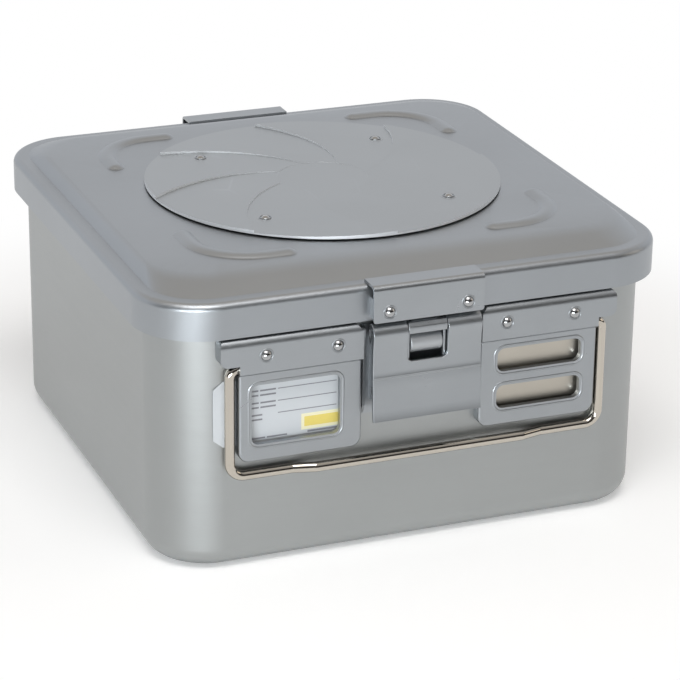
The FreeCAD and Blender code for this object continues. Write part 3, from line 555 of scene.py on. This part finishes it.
class ContainerFinish(bpy.types.PropertyGroup):
    """Colours and gloss of the container's materials."""
    pan_colour: colour("Pan", "Colour of the anodised pan", (0.378, 0.390, 0.389))
    pan_roughness: share("Pan roughness", "How dull the pan is", 0.42)
    lid_colour: colour("Lid", "Colour of the blasted lid", (0.355, 0.373, 0.392))
    lid_roughness: share("Lid roughness", "How dull the lid is", 0.40)
    cover_colour: colour("Filter cover", "Colour of the swirl cover", (0.37, 0.385, 0.395))
    cover_roughness: share("Filter cover roughness", "How dull the swirl cover is", 0.36)
    # Lighter colour and gloss painted on the cover's upright faces as a highlight
    highlight_colour: colour("Painted highlight", "Colour painted on the cover's upright faces as a highlight", (0.88, 0.90, 0.92))
    highlight_roughness: share("Painted highlight roughness", "How dull the painted highlight faces are", 0.60)
    fitting_colour: colour("Fittings", "Colour of latches and holders", (0.36, 0.378, 0.395))
    fitting_roughness: share("Fittings roughness", "How dull latches and holders are", 0.36)
    cast_colour: colour("Catch", "Colour of the catch and its barrel", (0.46, 0.475, 0.49))
    rivet_colour: colour("Rivets", "Colour of rivet and pin heads", (0.40, 0.405, 0.41))
    backing_colour: colour("Tag backing", "Colour of the sheet behind the slots",
                           (0.52, 0.485, 0.425))
    chrome_colour: colour("Wire", "Colour of the chromed handle", (0.53, 0.49, 0.43))
    gasket_colour: colour("Gasket", "Colour of the lid gasket", (0.36, 0.37, 0.38))
    card_colour: colour("Card", "Colour of the label card", (0.55, 0.57, 0.59))
    filter_colour: colour("Filter", "Colour of the filter paper", (0.80, 0.80, 0.78))
    ink_colour: colour("Ink", "Colour of the rules and bars on the card", (0.22, 0.22, 0.24))
    band_colour: colour("Indicator", "Colour of the indicator band", (0.74, 0.60, 0.15))
    field_colour: colour("Indicator field", "Colour round the indicator", (0.80, 0.76, 0.52))
    grain_scale: number("Grain", "Grains per metre of the metal surfaces", 2600.0, 50.0, 20000.0)


class CardPrint(bpy.types.PropertyGroup):
    """Sizes of the plain print on the label card."""
    rules: IntProperty(name="Rules", description="Number of writing lines", default=3, min=1,
                       max=12)
    rule_top: length("Rule top", "Height of the first writing line", 101.0 * MM)
    rule_pitch: length("Rule pitch", "Distance from one writing line to the next", 6.9 * MM)
    rule_length: length("Rule length", "Length of a writing line", 33.0 * MM)
    rule_width: length("Rule width", "Thickness of a writing line", 0.50 * MM)
    caption_pitch: length("Caption pitch", "From a caption's upper bar to the lower", 2.6 * MM)
    caption_height: length("Caption height", "Height of a caption bar", 0.95 * MM)
    caption_start: length("Caption start", "Place of the bars' left end from the middle",
                          94.8 * MM)
    word_gap: length("Word gap", "Gap between the words of a caption", 0.9 * MM)
    note_height: length("Note height", "Height of the lowest bars on the card", 74.0 * MM)


class RivetRings(bpy.types.PropertyGroup):
    """Sizes of the pressed rings round the rivet heads and of the lips round openings."""
    ring_radius: length("Ring radius", "Radius of the ring's middle line", 3.7 * MM)
    ring_width: length("Ring width", "Radius of the ring's round section", 0.34 * MM)
    ring_rise: share("Ring rise", "Share of the section that stands out of the sheet", 0.35)
    cover_ring_radius: length("Cover ring radius", "Radius of the ring on the swirl cover",
                              3.1 * MM)
    cover_ring_drop: length("Cover ring drop", "Depth of that ring under the rivet's top",
                            1.05 * MM)
    lip_face: length("Lip face", "Place of the holders' front sheet on Y", -147.5 * MM, -1.0, 1.0)
    lip_section: length("Lip section", "Radius of the lip's round section", 0.9 * MM)
    lip_rise: length("Lip rise", "Height of the lip above the sheet", 0.28 * MM)
    lip_offset: length("Lip offset", "From an opening's edge to the lip's middle line", 1.7 * MM)


class StudioStage(bpy.types.PropertyGroup):
    """Camera, lamps, room and floor."""
    azimuth: angle("Azimuth", "Camera direction round the container", -21.80)
    elevation: angle("Elevation", "Camera height angle", 22.12)
    roll: angle("Roll", "Turn of the picture", 0.75)
    distance: length("Distance", "From the camera to its target", 1.6509, 0.1, 20.0)
    target: FloatVectorProperty(name="Target", description="Point the camera looks at",
                                subtype="XYZ", unit="LENGTH", default=(0.01206, 0.0, 0.06161))
    lens: number("Lens", "Focal length on a 36 mm sensor, in millimetres", 149.915, 10.0, 500.0)
    key_power: watts("Key", "Power of the large front lamp, in watts", 3.4)
    low_power: watts("Low", "Power of the low lamp before the front, in watts", 8.0)
    fill_power: watts("Fill", "Power of the side lamp, in watts", 4.0)
    top_power: watts("Top", "Power of the overhead lamp, in watts", 24.0)
    room: number("Room", "Light that the room sheds on dull surfaces", 0.45, 0.0, 2.0)
    backdrop: number("Backdrop", "Brightness of the room as metal mirrors it", 0.95, 0.0, 2.0)
    floor_glow: number("Floor glow", "Share of white the floor shows by itself", 0.25, 0.0, 1.0)


# Geometry Nodes trees

def bars_tree(material):
    """Bars of one size in a column, lying in the XZ plane."""
    tree, start = new_group("Column of bars", "GeometryNodeTree", {
        "Count": "Int", "Pitch": "Float", "Length": "Float", "Height": "Float",
        "Ink thickness": "Float",
    }, {"Geometry": "Geometry"})
    drop = put(tree, "ShaderNodeMath", {0: start["Pitch"], 1: -1.0}, operation="MULTIPLY")
    step = put(tree, "ShaderNodeCombineXYZ", {"Z": drop})
    line = put(tree, "GeometryNodeMeshLine", {"Count": start["Count"], "Offset": step},
               mode="OFFSET", count_mode="TOTAL")
    size = put(tree, "ShaderNodeCombineXYZ", {
        "X": start["Length"], "Y": start["Ink thickness"], "Z": start["Height"],
    })
    bar = put(tree, "GeometryNodeMeshCube", {"Size": size})
    spread = put(tree, "GeometryNodeInstanceOnPoints", {
        "Points": line, "Instance": bar.outputs["Mesh"],
    })
    return coated(tree, spread, material)


def rings_tree(material):
    """Low round ring on each point of a mesh, turned to that point's facing."""
    tree, start = new_group("Pressed rings", "GeometryNodeTree", {
        "Points": "Geometry", "Radius": "Float", "Section": "Float",
    }, {"Geometry": "Geometry"})
    path = put(tree, "GeometryNodeCurvePrimitiveCircle", {
        "Resolution": RING_STEPS, "Radius": start["Radius"],
    }, mode="RADIUS")
    ring = round_bar(tree, path, start["Section"], RING_SECTION_STEPS)
    facing = put(tree, "GeometryNodeInputNamedAttribute", {"Name": "facing"},
                 data_type="FLOAT_VECTOR")
    turn = put(tree, "FunctionNodeAlignRotationToVector", {
        "Vector": facing.outputs["Attribute"],
    }, axis="Z")
    spread = put(tree, "GeometryNodeInstanceOnPoints", {
        "Points": start["Points"], "Instance": ring, "Rotation": turn,
    })
    return coated(tree, spread, material)


def lip_tree(material):
    """Round bar bent to a rectangle with round corners, lying in the XZ plane."""
    tree, start = new_group("Pressed lip", "GeometryNodeTree", {
        "Width": "Float", "Height": "Float", "Corner": "Float", "Section": "Float",
    }, {"Geometry": "Geometry"})
    path = put(tree, "GeometryNodeCurvePrimitiveQuadrilateral", {
        "Width": start["Width"], "Height": start["Height"],
    }, mode="RECTANGLE")
    rounded = put(tree, "GeometryNodeFilletCurve", {
        "Curve": path, "Radius": start["Corner"], "Count": LIP_CORNER_STEPS,
    }, mode="POLY")
    bar = round_bar(tree, rounded, start["Section"], LIP_SECTION_STEPS)
    upright = put(tree, "GeometryNodeTransform", {
        "Geometry": bar, "Rotation": (math.pi / 2, 0.0, 0.0),
    })
    return coated(tree, upright, material)


def round_bar(tree, path, section, steps):
    """Smooth bar with a round section along a path."""
    profile = put(tree, "GeometryNodeCurvePrimitiveCircle", {
        "Resolution": steps, "Radius": section,
    }, mode="RADIUS")
    bar = put(tree, "GeometryNodeCurveToMesh", {"Curve": path, "Profile Curve": profile})
    return put(tree, "GeometryNodeSetShadeSmooth", {"Geometry": bar})


def coated(tree, geometry, material):
    """Ends a tree with real geometry in one material."""
    real = put(tree, "GeometryNodeRealizeInstances", {"Geometry": geometry})
    coat = put(tree, "GeometryNodeSetMaterial", {"Geometry": real, "Material": material})
    put(tree, "NodeGroupOutput", {"Geometry": coat})
    return tree


def grown(name, base_mesh, tree, values, material):
    """Runs a tree on a mesh and returns the plain mesh that it makes."""
    carrier = link(name + "_carrier", base_mesh)
    modifier = carrier.modifiers.new("Growth", "NODES")
    modifier.node_group = tree
    for item in tree.interface.items_tree:
        if item.in_out == "INPUT" and item.name in values:
            modifier[item.identifier] = values[item.name]
    mesh = evaluated(carrier, name)
    carrier.modifiers.remove(modifier)
    bpy.data.objects.remove(carrier)
    mesh.materials.clear()
    mesh.materials.append(material)
    return mesh


# Pieces

class DressPan(bpy.types.Operator):
    """Give the pan its brushed and anodised finish"""
    bl_idname = "container.dress_pan"
    bl_label = "Pan"

    def execute(self, context):
        finish = context.scene.container_finish
        skinned("body_pan", "pan_shell", pan_metal(finish), PAN_CRISP)
        return {"FINISHED"}


class DressLid(bpy.types.Operator):
    """Give the lid, its gasket, the swirl cover and the filter their finishes"""
    bl_idname = "container.dress_lid"
    bl_label = "Lid and filter"

    def execute(self, context):
        finish = context.scene.container_finish
        skinned("lid_shell", "lid_pressing", lid_metal(finish), ROUND_CRISP,
                creases=(LID_RIM_TOP,))
        skinned("filter_cover", "swirl_cover", cover_metal(finish), COVER_CRISP, COVER_ROUND)
        steel = rivet_metal(finish)
        for node in ("cover_spacers", "cover_rivets", "filter_stud"):
            skinned(node, node + "_turned", steel, TURNED_CRISP)
        fitting = fitting_metal(finish)
        skinned("filter_retainer", "retainer_disc", fitting, TURNED_CRISP)
        skinned("filter_knob", "wing_knob", fitting, TURNED_CRISP)
        skinned("lid_gasket", "gasket_ring", gasket_rubber(finish), TURNED_CRISP)
        skinned("filter_sheet", "filter_disc", filter_paper(finish), TURNED_CRISP)
        return {"FINISHED"}


class DressLatches(bpy.types.Operator):
    """Give brackets, catches, levers, hooks and their pins their finishes"""
    bl_idname = "container.dress_latches"
    bl_label = "Latches"

    def execute(self, context):
        satin = bpy.data.materials[FITTING_STEEL]
        bright = bpy.data.materials[RIVET_STEEL]
        cast = cast_metal(context.scene.container_finish)
        for side in SIDES:
            for part in ("lid_bracket", "latch_base", "latch_lever", "hook_plate"):
                skinned(f"{side}_{part}", f"{side}_{part}_sheet", satin, SHEET_CRISP, EDGE_ROUND)
            skinned(f"{side}_lid_catch", f"{side}_catch_barrel", cast, SHEET_CRISP, EDGE_ROUND)
            for part in ("bracket_rivets", "base_rivets", "lever_pins", "hook_pin"):
                skinned(f"{side}_{part}", f"{side}_{part}_bright", bright, ROUND_CRISP)
        return {"FINISHED"}


class DressHolders(bpy.types.Operator):
    """Give the label and tag holders, their rails, rivets, backing and card their finishes"""
    bl_idname = "container.dress_holders"
    bl_label = "Holders"

    def execute(self, context):
        finish = context.scene.container_finish
        satin = bpy.data.materials[FITTING_STEEL]
        bright = bpy.data.materials[RIVET_STEEL]
        backing = backing_metal(finish)
        card = card_stock(finish)
        for side in SIDES:
            skinned(f"{side}_card_holder", f"{side}_label_frame", satin, SHEET_CRISP, EDGE_ROUND)
            skinned(f"{side}_tag_holder", f"{side}_tag_frame", satin, SHEET_CRISP, EDGE_ROUND)
            skinned(f"{side}_handle_rails", f"{side}_rail_bars", satin, SHEET_CRISP)
            skinned(f"{side}_holder_rivets", f"{side}_holder_rivets_bright", bright, ROUND_CRISP)
            skinned(f"{side}_tag_backing", f"{side}_tag_sheet", backing, TURNED_CRISP)
            skinned(f"{side}_label_card", f"{side}_card_sheet", card, TURNED_CRISP)
        return {"FINISHED"}


class DressHandles(bpy.types.Operator):
    """Give the wire handles their chrome"""
    bl_idname = "container.dress_handles"
    bl_label = "Handles"

    def execute(self, context):
        chrome = wire_chrome(context.scene.container_finish)
        for side in SIDES:
            skinned(f"{side}_handle", f"{side}_wire_handle", chrome, ROUND_CRISP)
        return {"FINISHED"}


# Column of equal bars on the front card. The middle is that of its top bar.
Bars = namedtuple("Bars", "name middle length height count pitch", defaults=(1, 0.0))


class PrintCards(bpy.types.Operator):
    """Print writing lines, caption bars and an indicator field on the label cards"""
    bl_idname = "container.print_cards"
    bl_label = "Card print"

    def execute(self, context):
        size = context.scene.container_print
        finish = context.scene.container_finish
        ink = card_ink("Card ink", finish.ink_colour, 0.1)
        indicator = card_ink("Indicator ink", finish.band_colour, 0.08)
        field = card_ink("Indicator field", finish.field_colour, 0.04)
        low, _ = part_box("front_label_card")
        tree = bars_tree(ink)
        for side in SIDES:
            for bars in self.lines(size):
                self.column(side, bars, tree, ink, low.y)
            self.column(side, Bars("indicator_field", FIELD_MIDDLE, *FIELD_SIZE), tree, field,
                        low.y)
            self.column(side, Bars("indicator", INDICATOR_MIDDLE, *INDICATOR_SIZE), tree,
                        indicator, low.y - INK_THICKNESS)
        return {"FINISHED"}

    def lines(self, size):
        """Columns of bars that are printed in ink, for the front card."""
        yield Bars("rules", (RULE_MIDDLE, size.rule_top), size.rule_length, size.rule_width,
                   size.rules, size.rule_pitch)
        for i, lengths in zip(range(size.rules), CAPTION_WORDS):
            top = size.rule_top - i * size.rule_pitch
            for word, (middle, run) in enumerate(self.words(size, lengths)):
                yield Bars(f"caption_{i}_{word}", (middle, top), run, size.caption_height,
                           CAPTION_LINES, size.caption_pitch)
        for word, (middle, run) in enumerate(self.words(size, NOTE_WORDS)):
            yield Bars(f"note_{word}", (middle, size.note_height), run, size.caption_height)
        yield Bars("number_bar", (NUMBER_MIDDLE, size.note_height), NUMBER_LENGTH,
                   size.caption_height * NUMBER_STRETCH)

    def words(self, size, lengths):
        """Middle and length of bars that follow one another from the captions' start."""
        start = -size.caption_start
        for run in lengths:
            yield start + run / 2, run
            start += run + size.word_gap

    def column(self, side, bars, tree, material, face):
        """Prints one column of bars on a face of the card."""
        values = {"Count": bars.count, "Pitch": bars.pitch, "Length": bars.length,
                  "Height": bars.height, "Ink thickness": INK_THICKNESS}
        mesh = grown(f"{side}_{bars.name}", bpy.data.meshes.new("bars"), tree, values, material)
        across, up = bars.middle
        mesh.transform(Matrix.Translation((across, face - INK_THICKNESS, up)))
        piece = link(f"{side}_card_{bars.name}", turned_to(side, mesh))
        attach(piece, cad_body(f"{side}_label_card"))


class PressRings(bpy.types.Operator):
    """Press a low ring round each rivet head and a low lip round each opening"""
    bl_idname = "container.press_rings"
    bl_label = "Rivet rings"

    def execute(self, context):
        size = context.scene.container_rings
        satin = bpy.data.materials[FITTING_STEEL]
        tree = rings_tree(satin)
        sink = size.ring_width * (1 - 2 * size.ring_rise)
        values = {"Radius": size.ring_radius, "Section": size.ring_width}
        for side in SIDES:
            out = side_sign(side)
            for rivets, sheet in RINGED_SHEETS.items():
                carrier = f"{side}_{sheet}"
                face = self.sheet_face(carrier, out) - out * sink
                places = [(c.x, face, c.z) for c in self.islands(f"{side}_{rivets}_rivets")]
                self.rings(f"{side}_{rivets}_rings", carrier, tree, values, satin,
                           (0.0, float(out), 0.0), places)
        self.lips(size, satin)
        _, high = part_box("cover_rivets")
        face = high.z - size.cover_ring_drop
        values = {"Radius": size.cover_ring_radius, "Section": size.ring_width}
        self.rings("cover_rings", "filter_cover", tree, values, satin, (0.0, 0.0, 1.0),
                   [(c.x, c.y, face) for c in self.islands("cover_rivets")])
        return {"FINISHED"}

    def lips(self, size, material):
        """Low pressed lip round each opening of the holders."""
        tree = lip_tree(material)
        sink = size.lip_section - size.lip_rise
        for side in SIDES:
            for holder, windows in HOLDER_WINDOWS.items():
                carrier = f"{side}_{holder}"
                for i, (left, right, bottom, top) in enumerate(windows):
                    name = f"{carrier}_lip_{i}"
                    values = {"Width": right - left + 2 * size.lip_offset,
                              "Height": top - bottom + 2 * size.lip_offset,
                              "Corner": WINDOW_CORNER + size.lip_offset,
                              "Section": size.lip_section}
                    mesh = grown(name, bpy.data.meshes.new("lip"), tree, values, material)
                    middle = ((left + right) / 2, size.lip_face + sink, (bottom + top) / 2)
                    mesh.transform(Matrix.Translation(middle))
                    piece = link(name, turned_to(side, mesh))
                    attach(piece, cad_body(carrier))

    def sheet_face(self, node, out):
        """Place on Y of a node's outer face."""
        low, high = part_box(node)
        return high.y if out > 0 else low.y

    def rings(self, name, carrier, tree, values, material, direction, places):
        """Rings at the places, lying flat on a sheet that faces the direction."""
        mesh = bpy.data.meshes.new("points")
        mesh.from_pydata(places, [], [])
        facing = mesh.attributes.new("facing", "FLOAT_VECTOR", "POINT")
        facing.data.foreach_set("vector", direction * len(places))
        piece = link(name, grown(name, mesh, tree, values, material))
        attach(piece, cad_body(carrier))

    def islands(self, node):
        """Middle of each separate solid of a node."""
        bm = merged(node)
        seen = set()
        centres = []
        for vert in bm.verts:
            if vert in seen:
                continue
            group, stack = [], [vert]
            seen.add(vert)
            while stack:
                here = stack.pop()
                group.append(here.co.copy())
                for edge in here.link_edges:
                    other = edge.other_vert(here)
                    if other not in seen:
                        seen.add(other)
                        stack.append(other)
            spans = [[point[axis] for point in group] for axis in range(3)]
            centres.append(Vector([(min(span) + max(span)) / 2 for span in spans]))
        bm.free()
        return centres


# Stage

FLOOR_HALF = 4.0
FLOOR_DROP = 0.0002
FLOOR_FADE = (0.24, 0.44)
FLOOR_TONE = 0.9
LAMP_AIM = (0.0, 0.0, 0.08)
SENSOR_WIDTH = 36.0
CLIP_START = 0.05
CLIP_END = 50.0
WHITE = (1.0, 1.0, 1.0, 1.0)

# Soft lamps: place, width, height and colour
SOFTBOXES = {
    "key": ((-0.75, -1.15, 0.22), 0.8, 0.4, (0.90, 0.96, 1.0)),
    "low": ((-0.70, -1.20, 0.14), 0.9, 0.22, (0.92, 0.97, 1.0)),
    "fill": ((2.0, -0.9, 0.9), 1.0, 1.0, (1.0, 0.90, 0.78)),
    "top": ((-0.3, -0.9, 2.0), 1.4, 1.0, (1.0, 0.99, 0.98)),
}

# Colours of the room from the horizon to the zenith, on the camera's side and behind, and
# how far each way from the middle the two sides blend
ROOM_FRONT = (
    (0.0, (0.03, 0.027, 0.024)),
    (0.44, (0.05, 0.045, 0.04)),
    (0.63, (0.43, 0.43, 0.44)),
    (1.0, (0.78, 0.75, 0.71)),
)
ROOM_BACK = (
    (0.0, (0.85, 0.88, 0.92)),
    (0.30, (1.0, 1.02, 1.06)),
    (0.50, (1.0, 1.02, 1.06)),
    (0.75, (0.76, 0.70, 0.63)),
    (1.0, (0.68, 0.62, 0.55)),
)
ROOM_BLEND = 0.25


class SetStage(bpy.types.Operator):
    """Set the floor, the lamps, the room and the camera"""
    bl_idname = "container.set_stage"
    bl_label = "Stage"

    def execute(self, context):
        stage = context.scene.container_stage
        self.floor(stage)
        self.lamps(stage)
        self.room(context.scene, stage)
        self.camera(context.scene, stage)
        context.scene.view_settings.view_transform = "Standard"
        return {"FINISHED"}

    def floor(self, stage):
        """Wide floor just under the container."""
        half = FLOOR_HALF
        mesh = bpy.data.meshes.new("floor")
        corners = [(-half, -half, 0), (half, -half, 0), (half, half, 0), (-half, half, 0)]
        mesh.from_pydata(corners, [], [(0, 1, 2, 3)])
        floor = link("floor", mesh)
        floor.location.z = -FLOOR_DROP
        mesh.materials.append(self.table(stage))

    def table(self, stage):
        """Pale matte table that keeps the shadow and fades into the white backdrop."""
        material, tree = new_material("Pale table")
        rays = put(tree, "ShaderNodeLightPath").outputs
        seen = put(tree, "ShaderNodeMath", {0: rays["Is Camera Ray"], 1: rays["Is Glossy Ray"]},
                   operation="MAXIMUM")
        through = put(tree, "ShaderNodeMath", {0: seen, 1: rays["Is Transmission Ray"]},
                      operation="MAXIMUM")
        place = put(tree, "ShaderNodeTexCoord")
        distance = put(tree, "ShaderNodeVectorMath", {0: place.outputs["Object"]},
                       operation="LENGTH")
        fade = mapped(tree, distance.outputs["Value"], *FLOOR_FADE, stage.floor_glow, 1.0,
                      "SMOOTHSTEP")
        level = put(tree, "ShaderNodeMath", {0: through, 1: fade}, operation="MULTIPLY")
        glow = put(tree, "ShaderNodeEmission", {"Strength": level})
        left = mapped(tree, level, stage.floor_glow, 1.0, FLOOR_TONE, 0.0)
        matte = put(tree, "ShaderNodeBsdfDiffuse", {"Color": left})
        both = put(tree, "ShaderNodeAddShader", {0: matte, 1: glow})
        put(tree, "ShaderNodeOutputMaterial", {"Surface": both})
        return material

    def lamps(self, stage):
        """Soft rectangular lamps that face the container."""
        for name, (place, width, height, tint) in SOFTBOXES.items():
            lamp = bpy.data.lights.new(f"{name}_softbox", "AREA")
            lamp.shape = "RECTANGLE"
            lamp.size = width
            lamp.size_y = height
            lamp.energy = getattr(stage, f"{name}_power")
            lamp.color = tint
            holder = link(f"{name}_softbox", lamp)
            holder.location = place
            aim = Vector(LAMP_AIM) - Vector(place)
            holder.rotation_mode = "QUATERNION"
            holder.rotation_quaternion = aim.to_track_quat("-Z", "Y")

    def room(self, scene, stage):
        """White backdrop behind the table, and a room that is dark at the horizon on the
        camera's side. The camera itself sees white all round."""
        world = bpy.data.worlds.new("Studio room")
        scene.world = world
        world.use_nodes = True
        tree = world.node_tree
        tree.nodes.clear()
        place = put(tree, "ShaderNodeTexCoord")
        parts = put(tree, "ShaderNodeSeparateXYZ", {0: place.outputs["Generated"]})
        front = self.ramp(tree, parts.outputs["Z"], ROOM_FRONT)
        back = self.ramp(tree, parts.outputs["Z"], ROOM_BACK)
        behind = mapped(tree, parts.outputs["Y"], -ROOM_BLEND, ROOM_BLEND, form="SMOOTHSTEP")
        rays = put(tree, "ShaderNodeLightPath").outputs
        level = mapped(tree, rays["Is Glossy Ray"], 0.0, 1.0, stage.room, stage.backdrop)
        lit = put(tree, "ShaderNodeBackground", {
            "Color": blended(tree, behind, front, back), "Strength": level,
        })
        white = put(tree, "ShaderNodeBackground", {"Color": WHITE, "Strength": 1.0})
        pick = put(tree, "ShaderNodeMixShader", {0: rays["Is Camera Ray"], 1: lit, 2: white})
        put(tree, "ShaderNodeOutputWorld", {"Surface": pick})

    def ramp(self, tree, value, stops):
        """Colour ramp with the given stops over a height from 0 to 1."""
        node = put(tree, "ShaderNodeValToRGB", {"Fac": value})
        elements = node.color_ramp.elements
        elements[0].position, elements[1].position = stops[0][0], stops[-1][0]
        elements[0].color, elements[1].color = (*stops[0][1], 1.0), (*stops[-1][1], 1.0)
        for position, tint in stops[1:-1]:
            elements.new(position).color = (*tint, 1.0)
        return node.outputs["Color"]

    def camera(self, scene, stage):
        """Camera on a sphere round its target, rolled a little."""
        cosine = math.cos(stage.elevation)
        back = Vector((math.sin(stage.azimuth) * cosine, -math.cos(stage.azimuth) * cosine,
                       math.sin(stage.elevation)))
        level = Vector((0, 0, 1)).cross(back).normalized()
        upright = back.cross(level)
        right = math.cos(stage.roll) * level + math.sin(stage.roll) * upright
        up = math.cos(stage.roll) * upright - math.sin(stage.roll) * level
        lens = bpy.data.cameras.new("view")
        lens.sensor_width = SENSOR_WIDTH
        lens.lens = stage.lens
        lens.clip_start = CLIP_START
        lens.clip_end = CLIP_END
        camera = link("view", lens)
        camera.rotation_mode = "QUATERNION"
        camera.rotation_quaternion = Matrix((right, up, back)).transposed().to_quaternion()
        camera.location = Vector(stage.target) + back * stage.distance
        scene.camera = camera


class ContainerPanel(bpy.types.Panel):
    """Lists the settings and the steps"""
    bl_idname = "VIEW3D_PT_container"
    bl_label = "Sterilization container"
    bl_space_type = "VIEW_3D"
    bl_region_type = "UI"
    bl_category = "Container"

    def draw(self, context):
        for step in STEPS:
            self.layout.operator(step.bl_idname)
        for name in GROUPS:
            group = getattr(context.scene, name)
            box = self.layout.box()
            for key in group.bl_rna.properties.keys():
                if key not in ("rna_type", "name"):
                    box.prop(group, key)


GROUPS = {
    "container_finish": ContainerFinish,
    "container_print": CardPrint,
    "container_rings": RivetRings,
    "container_stage": StudioStage,
}
STEPS = (SetStage, DressPan, DressLid, DressLatches, DressHolders, DressHandles, PrintCards,
         PressRings)


def register():
    for group in GROUPS.values():
        bpy.utils.register_class(group)
    for name, group in GROUPS.items():
        setattr(bpy.types.Scene, name, PointerProperty(type=group))
    for step in STEPS:
        bpy.utils.register_class(step)
    bpy.utils.register_class(ContainerPanel)


def unregister():
    bpy.utils.unregister_class(ContainerPanel)
    for step in reversed(STEPS):
        bpy.utils.unregister_class(step)
    for name in GROUPS:
        delattr(bpy.types.Scene, name)
    for group in reversed(list(GROUPS.values())):
        bpy.utils.unregister_class(group)


def main():
    register()
    bpy.ops.container.set_stage()
    bpy.ops.container.dress_pan()
    bpy.ops.container.dress_lid()
    bpy.ops.container.dress_latches()
    bpy.ops.container.dress_holders()
    bpy.ops.container.dress_handles()
    bpy.ops.container.print_cards()
    bpy.ops.container.press_rings()


if __name__ == "__main__":
    main()
